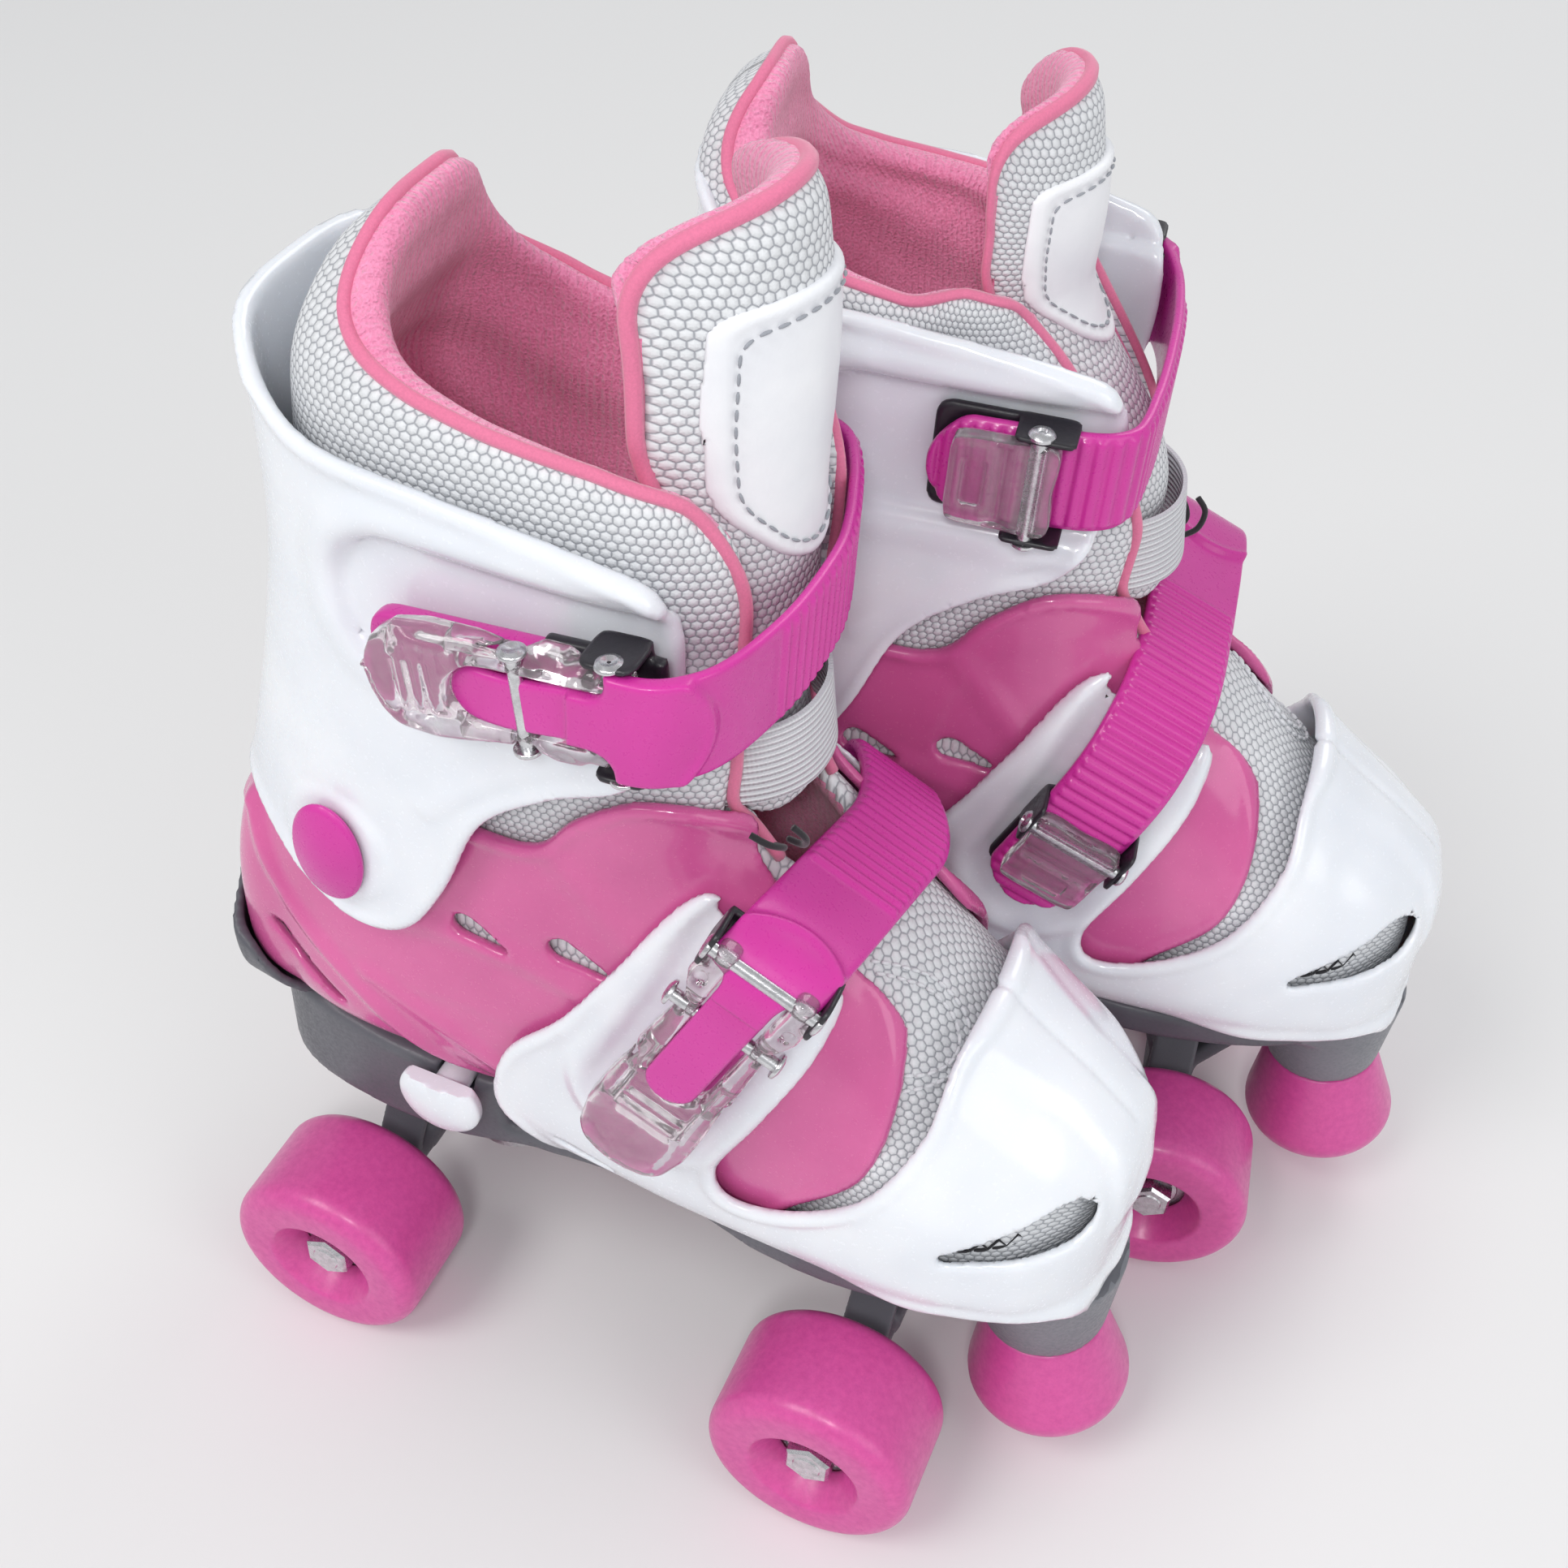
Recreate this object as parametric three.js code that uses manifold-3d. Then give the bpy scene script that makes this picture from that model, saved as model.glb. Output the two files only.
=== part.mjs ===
// A pair of adjustable quad roller skates with hinged cuffs, ratchet buckles, soft liners,
// cushioned trucks and toe stops. Units are millimetres, +Z is up, +X is the way the right
// skate rolls and +Y is to its left. One skate is described in a frame of its own, with its
// origin on the floor under the middle of the wheelbase; the left skate is its mirror image.
import * as THREE from "three";
import { mergeVertices } from "three/addons/utils/BufferGeometryUtils.js";
import Module from "manifold-3d";

// ---------------------------------------------------------------- driving dimensions
const WHEEL = { radius: 27, width: 32, bore: 11.3, bevel: 7, recess: 9, mouth: 15, facets: 16 };
const WHEELBASE = 138;
const TRACK = 87; // between the middles of the two wheels on an axle
const AXLE = { rod: 4, hub: 11.02, hole: 4.4 };
const GAP = 0.3; // kept between pieces that touch
const SHELL = 3; // wall of the moulded shells
const LINER = { foot: 6, leg: 8 }; // padding thickness
const ANKLE = { x: -59, z: 174, pin: 4, hole: 4.6 }; // pivot of the cuff
const CUFF_FLEX = [-3, 0, 5, 10]; // degrees of lean that the cuff is cut to clear
const TOE_TRAVEL = 20; // how far the toe shell pulls out for the largest size
const LEVER = { length: 58, width: 23, thick: 6.5, slot: 11 };
const STRAP = { width: 24, thick: 2.4 };
const ANKLE_STRAP_Z = 247;
const INSTEP = { x: 12, z: 117, rake: 66 }; // a point on the instep strap's plane, and its slope
const TOE_STOP = { x: 116, z: 15, height: 31, lean: 11, bottom: 21.5, top: 15 };
const CUSHION = { x: 42, radius: 12.5, low: 38, high: 50 };
const PIVOT = { x: 84, stub: 4, hole: 6 };
const BUTTON = { x: -41, z: 90, radius: 11, stem: 4.4 };
const DECK = 76; // height of the chassis's flat top, which the toe shell slides on
const PAIR = { x: 48.5, y: 100.5, turn: 9 }; // where the left skate stands, and its turn in degrees
const RING = 14; // points round a lofted section

// Foot sections, heel to toe: the lowest and highest point, half width and height of the widest.
const FOOT = [
  { x: -103, low: 110, high: 146, half: 13, waist: 128 },
  { x: -96, low: 104, high: 161, half: 25, waist: 128 },
  { x: -80, low: 101, high: 178, half: 32, waist: 128 },
  { x: -28, low: 96, high: 200, half: 34, waist: 126 },
  { x: 2, low: 88, high: 204, half: 34, waist: 120 },
  { x: 24, low: 84, high: 199, half: 35, waist: 114 },
  { x: 56, low: 84, high: 170, half: 36, waist: 108 },
  { x: 86, low: 84, high: 143, half: 33, waist: 104 },
  { x: 102, low: 86, high: 131, half: 26, waist: 104 },
  { x: 112, low: 91, high: 122, half: 15, waist: 105 },
];
// Leg sections, bottom to top: height, rearmost and foremost point, half width.
const LEG = [
  { z: 140, rear: -95, front: 0, half: 30 },
  { z: 180, rear: -88, front: 26, half: 32 },
  { z: 215, rear: -80, front: 32, half: 33 },
  { z: 285, rear: -72, front: 29, half: 36 },
  { z: 328, rear: -62, front: 26, half: 37 },
];
const CUFF = [
  { z: 140, rear: -104, front: 44, half: 43.5 },
  { z: 180, rear: -95, front: 44, half: 42.6 },
  { z: 215, rear: -87, front: 44, half: 42 },
  { z: 250, rear: -82, front: 44, half: 41.5 },
  { z: 310, rear: -83.5, front: 44, half: 42.5 },
];
// The toe shell leaves room for the foot and the heel shell as it pulls forwards.
const TOE = FOOT.map((s) => {
  const passed = FOOT.filter((t) => t.x >= s.x && t.x <= s.x + TOE_TRAVEL + 12);
  return {
    x: s.x + (s.x > 60 ? 4 : 0),
    low: 84,
    high: Math.max(...passed.map((t) => t.high)),
    half: Math.max(...passed.map((t) => t.half)) + 0.6,
    waist: s.waist - 3,
  };
});

// Side outlines of the shells, as [x, z] points that a smooth closed curve passes through.
const HEEL_OUTLINE = [
  [-118, 92], [-118, 130], [-112, 150], [-97, 160], [-84, 171], [-72, 186], [-50, 191], [-26, 187],
  [-13, 189], [-4, 200], [10, 209], [26, 206], [40, 190], [58, 172], [70, 150], [68, 124], [52, 104],
  [40, 84], [20, 76], [-30, 84], [-60, 90],
];
const TOE_OUTLINE = [
  [-24, 104], [-16, 90], [0, 76], [40, 70], [110, 70], [138, 84], [138, 140], [110, 160], [82, 158],
  [78, 140], [68, 120], [52, 107], [38, 104], [35, 114], [44, 134], [54, 158], [54, 176], [44, 190],
  [31, 192], [18, 182], [6, 162], [-6, 142], [-20, 124],
];
const CUFF_OUTLINE = [
  [-120, 176], [-120, 290], [-94, 300], [-76, 294], [-60, 277], [-30, 275], [4, 271], [17, 264],
  [19, 240], [12, 220], [-6, 210], [-22, 196], [-32, 172], [-42, 156], [-55, 152], [-70, 158], [-88, 171],
];
// Side outlines that part the liner into the foot and the padded leg that leans with the cuff.
const FOOT_PART = [
  [-130, 60], [-130, 162], [-104, 162.5], [-59.5, 173], [-27, 182.5], [-6, 198], [21, 206], [150, 206],
  [150, 60],
];
const LEG_PART = [
  [-130, 176], [-104, 175.5], [-80, 176], [-59, 177], [-30, 192], [-12, 213], [14, 228], [60, 232], [60, 262],
  [28, 270], [16, 281], [-14, 291], [-50, 299], [-62, 315], [-130, 318],
];
// Half of each strap's inner line: how far out to the side, and how far along its own plane.
const ANKLE_STRAP = [[42.2, -6], [41.2, 8], [38.8, 19], [31, 28], [17, 33.4], [0, 34.6]];
const INSTEP_STRAP = [[44.6, 26], [44.4, 44], [41, 58], [31, 69], [16, 75], [0, 76.5]];

const FINISH = {
  white: { color: 0xf2f4f7, roughness: 0.3, metalness: 0 },
  pink: { color: 0xd9559b, roughness: 0.25, metalness: 0 },
  magenta: { color: 0xc0359a, roughness: 0.35, metalness: 0 },
  grey: { color: 0x55585f, roughness: 0.5, metalness: 0 },
  mesh: { color: 0xc9ccd1, roughness: 0.9, metalness: 0 },
  clear: { color: 0xe8dfe4, roughness: 0.1, metalness: 0 },
  steel: { color: 0xb9bcc2, roughness: 0.3, metalness: 1 },
};

// ---------------------------------------------------------------- solids
const wasm = await Module();
wasm.setup();

function solidOf(geometry) {
  const made = new THREE.BufferGeometry().setAttribute("position", geometry.getAttribute("position"));
  made.setIndex(geometry.index);
  const merged = geometry.userData.closed ? made : mergeVertices(made, 1e-4);
  return new wasm.Manifold(
    new wasm.Mesh({
      numProp: 3,
      vertProperties: new Float32Array(merged.attributes.position.array),
      triVerts: new Uint32Array(merged.index.array),
    }),
  );
}

function geometryOf(solid) {
  const made = solid.getMesh();
  const geometry = new THREE.BufferGeometry();
  geometry.setAttribute("position", new THREE.BufferAttribute(made.vertProperties, 3));
  geometry.setIndex(new THREE.BufferAttribute(made.triVerts, 1));
  geometry.userData.closed = true;
  return geometry;
}

const combine = (step, [first, ...rest]) =>
  geometryOf(rest.reduce((whole, next) => whole[step](solidOf(next)), solidOf(first)));
const join = (...shapes) => combine("add", shapes);
const cut = (...shapes) => combine("subtract", shapes);
const overlap = (...shapes) => combine("intersect", shapes);

// Reverses every face, for a shape that came out inside out or has been mirrored.
function reversed(geometry) {
  const order = geometry.index.array;
  for (let i = 0; i < order.length; i += 3) [order[i], order[i + 1]] = [order[i + 1], order[i]];
  return geometry;
}

const mirrored = (geometry, x, y) => reversed(geometry.scale(x, y, 1));
const mirrorX = (geometry) => mirrored(geometry, -1, 1);
const mirrorY = (geometry) => mirrored(geometry, 1, -1);

// A closed solid through rings that have equal numbers of points, all turning the same way.
function loft(rings) {
  const count = rings[0].length;
  const middle = (ring) =>
    ring.reduce((sum, p) => sum.add(p), new THREE.Vector3()).multiplyScalar(1 / count);
  const points = [...rings.flat(), middle(rings[0]), middle(rings.at(-1))];
  const first = points.length - 2;
  const end = first - count;
  const index = [];
  for (let i = 0; i < count; i++) {
    const j = (i + 1) % count;
    for (let a = 0; a < end; a += count) {
      const b = a + count;
      index.push(a + i, a + j, b + j, a + i, b + j, b + i);
    }
    index.push(first, j, i, first + 1, end + i, end + j);
  }
  const geometry = new THREE.BufferGeometry().setFromPoints(points).setIndex(index);
  return solidOf(geometry).volume() > 0 ? geometry : reversed(geometry);
}

const power = (value, exponent) => Math.sign(value) * Math.abs(value) ** exponent;
const turns = (count) => Array.from({ length: count }, (_, i) => (2 * Math.PI * (i + 0.5)) / count);

// The foot's volume, grown outwards by a distance on every side.
function foot(grow, table = FOOT) {
  const middle = (table[0].x + table.at(-1).x) / 2;
  const reach = (table.at(-1).x - table[0].x) / 2;
  return loft(
    table.map((s) => {
      const x = s.x + (grow * (s.x - middle)) / reach;
      return turns(RING).map((a) => {
        const below = Math.sin(a) < 0;
        const flat = below ? 4 : 2.4;
        const rise = (below ? s.waist - s.low : s.high - s.waist) + grow;
        return new THREE.Vector3(
          x,
          (s.half + grow) * power(Math.cos(a), 2 / flat),
          s.waist + rise * power(Math.sin(a), 2 / flat),
        );
      });
    }),
  );
}

// A leg's volume from level sections, grown outwards by a distance on every side.
function leg(grow, table = LEG) {
  return loft(
    table.map((s) => {
      const reach = (s.front - s.rear) / 2 + grow;
      return turns(RING).map((a) => new THREE.Vector3(
        (s.rear + s.front) / 2 + reach * power(Math.cos(a), 2 / 3),
        (s.half + grow) * power(Math.sin(a), 2 / 3),
        s.z,
      ));
    }),
  );
}

const boot = (grow) => join(foot(grow), leg(grow));

const prism = (outline, depth) =>
  new THREE.ExtrudeGeometry(new THREE.Shape(outline.map((p) => new THREE.Vector2(...p))), {
    depth,
    bevelEnabled: false,
  });

// A prism with a side outline of [x, z] points, and one with a plan outline of [x, y] points.
const sideways = (outline, from = -60, to = 60) =>
  prism(outline, to - from).rotateX(Math.PI / 2).translate(0, to, 0);
const upright = (outline, from, to) => prism(outline, to - from).translate(0, 0, from);

const box = (x0, x1, y0, y1, z0, z1) =>
  new THREE.BoxGeometry(x1 - x0, y1 - y0, z1 - z0)
    .translate((x0 + x1) / 2, (y0 + y1) / 2, (z0 + z1) / 2);

// A turned solid about +Z from [radius, z] points that run upwards on the outside.
const turned = (profile, facets = 16) =>
  new THREE.LatheGeometry(profile.map((p) => new THREE.Vector2(...p)), facets).rotateX(Math.PI / 2);

const rod = (radius, from, to, facets = 12) =>
  turned([[0, from], [radius, from], [radius, to], [0, to]], facets);
const alongY = (geometry) => geometry.rotateX(-Math.PI / 2);

function smooth(points, steps) {
  const curve = new THREE.CatmullRomCurve3(
    points.map(([x, z]) => new THREE.Vector3(x, z, 0)), true, "centripetal",
  );
  return curve.getPoints(steps).slice(0, -1).map((p) => [p.x, p.y]);
}

// ---------------------------------------------------------------- running gear
// The wheel is turned about its own axle along Y, and stands on the middle of a facet.
function wheel() {
  const { width, bore, bevel, recess, mouth, facets } = WHEEL;
  const outer = WHEEL.radius / Math.cos(Math.PI / facets);
  const side = [
    [bore, width / 2 - recess], [mouth, width / 2], [outer - bevel, width / 2],
    [outer - 1.5, width / 2 - bevel / 2], [outer, width / 2 - bevel],
  ];
  const other = side.map(([r, y]) => [r, -y]);
  return alongY(turned([...other, ...side.reverse(), other[0]], facets)).rotateY(Math.PI / facets);
}

// Rod, bearing seats and end nuts in one stepped piece.
function axle() {
  const middle = TRACK / 2;
  const end = [
    [AXLE.rod, middle - 7], [AXLE.hub, middle - 7], [AXLE.hub, middle + 7], [7, middle + 7],
    [7, middle + 12.5], [AXLE.rod, middle + 12.5], [AXLE.rod, middle + 14], [0, middle + 14],
  ];
  const other = end.map(([r, y]) => [r, -y]).reverse();
  return alongY(turned([...other, ...end], 10));
}

// The front truck: axle tube, web, ring round the kingpin and pivot stub.
function truck() {
  const centre = WHEELBASE / 2;
  const tube = alongY(rod(7, -26, 26)).translate(centre, 0, WHEEL.radius);
  const web = sideways(
    [[57, 51.5], [57, 56.5], [88, 57], [88, 50], [78, 34], [76, 22], [63, 22], [62, 36]], -11, 11,
  );
  const rib = upright([[62, -24], [76, -24], [76, 24], [62, 24]], 26, 33);
  const ring = turned([[7.5, 51.5], [13, 51.5], [13, 56.5], [7.5, 56.5], [7.5, 51.5]], 12);
  const bridge = box(CUSHION.x + 10, 60, -8, 8, 51.5, 56.5);
  const stub = rod(PIVOT.stub, 56, 63).translate(PIVOT.x, 0, 0);
  const bore = alongY(rod(AXLE.hole, -30, 30)).translate(centre, 0, WHEEL.radius);
  return cut(join(tube, web, rib, ring.translate(CUSHION.x, 0, 0), bridge, stub), bore);
}

function cushion() {
  const { radius, low, high } = CUSHION;
  return turned([
    [AXLE.hole, low], [radius, low], [radius, high - 1], [radius - 1, high], [AXLE.hole, high],
    [AXLE.hole, low],
  ]);
}

const kingpin = () => join(rod(7, CUSHION.low - 5, CUSHION.low - GAP, 6), rod(AXLE.rod, CUSHION.low - 4, 66));

// ---------------------------------------------------------------- chassis and toe stop
// Turns a piece drawn about +Z onto the toe stop's leaning axis.
const onStop = (geometry) =>
  geometry.rotateY((-TOE_STOP.lean * Math.PI) / 180).translate(TOE_STOP.x, 0, TOE_STOP.z);

function toeStop() {
  const { bottom, top, height } = TOE_STOP;
  const rubber = turned([[0, 0], [bottom - 6, 0], [bottom - 1, 2.5], [bottom, 7], [top, height], [0, height]], 20);
  return onStop(cut(rubber, rod(AXLE.hole, height - 16, height + 1)));
}

const toeStopBolt = () => onStop(rod(AXLE.rod, TOE_STOP.height - 15, TOE_STOP.height + 14));

function chassis() {
  const plan = smooth(
    [[-104, 0], [-92, -24], [-60, -31.5], [-20, -29], [10, -27], [60, -31], [100, -22], [118, 0],
      [100, 22], [60, 31], [10, 27], [-20, 29], [-60, 31.5], [-92, 24]], 24,
  );
  const side = [
    [-112, 88], [-100, 66], [-40, 66], [-20, 70], [20, 70], [40, 66], [126, 66], [126, DECK],
    [-27, DECK], [-30, 91.4], [-78, 96.4], [-112, 96.4],
  ];
  const seat = box(34, 94, -17, 17, 58.6, 70);
  const { height } = TOE_STOP;
  const pylon = onStop(cut(
    turned([[0, height + GAP], [15.5, height + GAP], [21, 55], [0, 55]], 20),
    rod(AXLE.hole, height, height + 15),
  ));
  const heelCup = overlap(
    cut(foot(SHELL + 3.6), foot(SHELL + 1)),
    sideways([[-125, 80], [-72, 80], [-80, 98], [-92, 117], [-104, 127], [-125, 129]]),
  );
  const holes = [
    rod(AXLE.hole, 50, 67.5).translate(CUSHION.x, 0, 0), rod(PIVOT.hole, 50, 65).translate(PIVOT.x, 0, 0),
  ];
  return cut(
    join(overlap(upright(plan, 60, 97), sideways(side)), seat, mirrorX(seat.clone()), pylon, heelCup),
    box(60, 140, -40, 40, DECK, 100),
    alongY(rod(BUTTON.stem + 0.8, -40, -18)).translate(BUTTON.x, 0, BUTTON.z),
    ...holes,
    ...holes.map((hole) => mirrorX(hole.clone())),
  );
}

// ---------------------------------------------------------------- shells
const ankleHole = () => alongY(rod(ANKLE.hole, -60, 60)).translate(ANKLE.x, 0, ANKLE.z);

function heelShell() {
  const wall = overlap(cut(boot(SHELL + 0.4), boot(0.4)), sideways(smooth(HEEL_OUTLINE, 32)));
  const vents = [[-23, 165], [0, 168]].map(([x, z]) =>
    sideways([[x - 6, z + 3], [x - 5, z - 2], [x + 7, z - 4], [x + 6, z]]));
  const instep = box(-60, 100, -19, 19, 140, 260);
  const back = box(-130, -95, -30, 30, 162, 200);
  return cut(wall, instep, back, ankleHole(), ...vents);
}

function toeShell() {
  const inner = SHELL + 0.8;
  const wall = overlap(
    cut(foot(inner + SHELL, TOE), foot(inner, TOE)), sideways(smooth(TOE_OUTLINE, 34)),
  );
  const throat = upright([[-60, -23], [60, -23], [72, -16], [80, 0], [72, 16], [60, 23], [-60, 23]], 130, 260);
  const vent = sideways([[92, 106], [98, 112], [116, 122], [119, 118], [112, 108]]);
  return cut(wall, throat, vent, box(-60, 140, -50, 50, 60, DECK + 0.4));
}

function cuff() {
  const wall = overlap(cut(leg(0, CUFF), leg(-SHELL, CUFF)), sideways(smooth(CUFF_OUTLINE, 28)));
  const heel = CUFF_FLEX.map((angle) =>
    foot(SHELL + 1.4)
      .translate(-ANKLE.x, 0, -ANKLE.z)
      .rotateY((-angle * Math.PI) / 180)
      .translate(ANKLE.x, 0, ANKLE.z));
  const slots = [184, 208, 232].map((z) => box(-120, -80, -14, 14, z, z + 9));
  return cut(wall, ...heel, ankleHole(), ...slots);
}

// The rivet that hinges the cuff on the heel shell, with an oval head, drawn for the +Y side.
function rivet() {
  const head = alongY(turned([[0, 43.4], [11, 43.4], [9, 45.6], [0, 47]])).scale(0.78, 1, 1.27);
  return join(alongY(rod(ANKLE.pin, 35.6, 44)), head).translate(ANKLE.x, 0, ANKLE.z);
}

// ---------------------------------------------------------------- liner
function linerFoot() {
  const skin = overlap(cut(boot(0), foot(-LINER.foot), leg(-LINER.leg)), sideways(FOOT_PART));
  const room = cut(
    box(ANKLE.x - 8, ANKLE.x + 8, -60, 60, ANKLE.z - 8, ANKLE.z + 8),
    box(ANKLE.x - 9, ANKLE.x + 9, -30.5, 30.5, ANKLE.z - 9, ANKLE.z + 9),
  );
  return cut(skin, room);
}

const linerCollar = () =>
  cut(overlap(cut(leg(0), leg(-LINER.leg)), sideways(LEG_PART)), box(0, 60, -23, 23, 150, 340));

const tongue = () => overlap(cut(leg(-0.4), leg(-LINER.leg - 1)), box(8, 60, -22.5, 22.5, 226, 326));

// ---------------------------------------------------------------- straps and buckles
// A band that bends round the boot. Its line is drawn across the skate and along the band's plane.
function band(half) {
  const line = new THREE.CatmullRomCurve3(
    [...half, ...half.slice(0, -1).reverse().map(([x, y]) => [-x, y])]
      .map(([x, y]) => new THREE.Vector3(x, y, 0)),
    false,
    "centripetal",
  );
  const steps = 18;
  const inside = [];
  const outside = [];
  for (let i = 0; i <= steps; i++) {
    const point = line.getPoint(i / steps);
    const heading = line.getTangent(i / steps);
    inside.push([point.x, point.y]);
    outside.push([point.x + heading.y * STRAP.thick, point.y - heading.x * STRAP.thick]);
  }
  return prism([...inside, ...outside.reverse()], STRAP.width).translate(0, 0, -STRAP.width / 2);
}

// Lays a band into a plane across the skate that slopes up and forwards.
function inPlane(geometry, slope, x, z) {
  const along = new THREE.Vector3(Math.cos(slope), 0, Math.sin(slope));
  const across = new THREE.Vector3(0, -1, 0);
  const matrix = new THREE.Matrix4().makeBasis(across, along, across.clone().cross(along));
  return geometry.applyMatrix4(matrix.setPosition(x, 0, z));
}

const ankleStrap = () =>
  cut(
    inPlane(band(ANKLE_STRAP), 0, 0, ANKLE_STRAP_Z),
    overlap(leg(GAP, CUFF), box(-130, 20, -60, 60, 150, 300)),
    leg(GAP),
  );

const instepStrap = () =>
  cut(
    inPlane(band(INSTEP_STRAP), (INSTEP.rake * Math.PI) / 180, INSTEP.x, INSTEP.z),
    foot(SHELL * 2 + 0.8 + GAP, TOE),
    boot(SHELL + 1),
  );

// The lever reaches along -X from its pin, and its outer face looks along +Z.
function lever() {
  const side = LEVER.width / 2;
  const end = -LEVER.length;
  const body = upright(
    [[3, -side], [3, side], [end + 12, side], [end + 3, side - 4], [end, 0], [end + 3, 4 - side],
      [end + 12, -side]], 0, LEVER.thick,
  );
  const edge = LEVER.slot / 2;
  const slot = upright([[8, -edge], [8, edge], [-28, edge], [-34, 0], [-28, -edge]], -1, LEVER.thick + 1);
  const pin = alongY(rod(1.6, -side - 1.5, side + 1.5, 8)).translate(0, 0, LEVER.thick / 2);
  return join(cut(body, slot), pin);
}

// The release tab of a ratchet, drawn in the same way as the lever.
const catchTab = () =>
  join(
    upright([[-18, -11], [4, -11], [4, 11], [-18, 11]], 0, 4.5),
    alongY(rod(2, -12.5, 12.5, 8)).translate(0, 0, 2.5),
  );

const sizeButton = () =>
  alongY(turned([
    [0, -39.6], [BUTTON.radius - 1, -39], [BUTTON.radius, -35.6], [BUTTON.stem, -35.6], [BUTTON.stem, -22],
    [0, -22],
  ])).translate(BUTTON.x, 0, BUTTON.z);

// ---------------------------------------------------------------- assembly
const half = WHEELBASE / 2;
const slope = (INSTEP.rake * Math.PI) / 180;
const PIECES = [
  { name: "chassis", finish: "grey", shape: chassis },
  { name: "front_truck", finish: "grey", shape: truck },
  { name: "rear_truck", finish: "grey", shape: () => mirrorX(truck()) },
  { name: "front_axle", finish: "steel", shape: axle, at: [half, 0, WHEEL.radius] },
  { name: "rear_axle", finish: "steel", shape: axle, at: [-half, 0, WHEEL.radius] },
  { name: "front_cushion", finish: "grey", shape: cushion, at: [CUSHION.x, 0, 0] },
  { name: "rear_cushion", finish: "grey", shape: cushion, at: [-CUSHION.x, 0, 0] },
  { name: "front_kingpin", finish: "steel", shape: kingpin, at: [CUSHION.x, 0, 0] },
  { name: "rear_kingpin", finish: "steel", shape: kingpin, at: [-CUSHION.x, 0, 0] },
  { name: "toe_stop", finish: "magenta", shape: toeStop },
  { name: "toe_stop_bolt", finish: "steel", shape: toeStopBolt },
  { name: "heel_shell", finish: "pink", shape: heelShell },
  { name: "toe_shell", finish: "white", shape: toeShell },
  { name: "cuff", finish: "white", shape: cuff },
  { name: "inner_rivet", finish: "magenta", shape: rivet },
  { name: "outer_rivet", finish: "magenta", shape: () => mirrorY(rivet()) },
  { name: "size_button", finish: "white", shape: sizeButton },
  { name: "liner_foot", finish: "mesh", shape: linerFoot },
  { name: "liner_collar", finish: "mesh", shape: linerCollar },
  { name: "tongue", finish: "mesh", shape: tongue },
  { name: "ankle_strap", finish: "magenta", shape: ankleStrap },
  { name: "instep_strap", finish: "magenta", shape: instepStrap },
  { name: "ankle_lever", finish: "clear", shape: lever, at: [14, -47.6, ANKLE_STRAP_Z], toward: [-1, 0.03, 0] },
  { name: "ankle_catch", finish: "clear", shape: catchTab, at: [2, 46, ANKLE_STRAP_Z], toward: [-1, 0, 0] },
  {
    name: "instep_lever", finish: "clear", shape: lever, at: [38, -48.2, 175],
    toward: [-Math.cos(slope), -0.06, -Math.sin(slope)],
  },
  {
    name: "instep_catch", finish: "clear", shape: catchTab, at: [27, 48.2, 150],
    toward: [-Math.cos(slope), 0, -Math.sin(slope)],
  },
];
for (const [end, x] of [["front", half], ["rear", -half]])
  for (const [side, y] of [["outer", -TRACK / 2], ["inner", TRACK / 2]])
    PIECES.push({ name: `${end}_${side}_wheel`, finish: "magenta", shape: wheel, at: [x, y, WHEEL.radius] });

// Turns a flat piece so that its -X points toward a direction and its +Z looks out to its side.
function face(mesh, toward) {
  const back = new THREE.Vector3(...toward).normalize().negate();
  const out = new THREE.Vector3(0, Math.sign(mesh.position.y), 0);
  out.addScaledVector(back, -out.dot(back)).normalize();
  mesh.setRotationFromMatrix(new THREE.Matrix4().makeBasis(back, out.clone().cross(back), out));
}

function skate(side) {
  const group = new THREE.Group();
  for (const { name, finish, shape, at, toward } of PIECES) {
    const mesh = new THREE.Mesh(shape(), new THREE.MeshStandardMaterial(FINISH[finish]));
    mesh.name = `${side}_${name}`;
    if (at) mesh.position.set(...at);
    if (toward) face(mesh, toward);
    group.add(mesh);
  }
  return group;
}

const right = skate("right");
const left = skate("left");
left.scale.y = -1;
left.position.set(PAIR.x, PAIR.y, 0);
left.rotation.z = (PAIR.turn * Math.PI) / 180;

// The origin is on the floor, under the middle of the pair's bounding box.
const pair = new THREE.Group();
pair.add(right, left);
pair.updateMatrixWorld(true);
const bounds = new THREE.Box3().setFromObject(pair, true);
pair.position.set(-(bounds.min.x + bounds.max.x) / 2, -(bounds.min.y + bounds.max.y) / 2, -bounds.min.z);

export default pair;
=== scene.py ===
# A pair of adjustable quad roller skates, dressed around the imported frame.
# One skate is modelled in its own frame, in millimetres: +X to the toe, +Y to the inner side of
# the foot, +Z up, with the origin on the floor under the middle of the wheelbase. The other
# skate is its mirror image.
import functools
import math

import bpy
import numpy as np
from mathutils import Matrix, Vector


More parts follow.
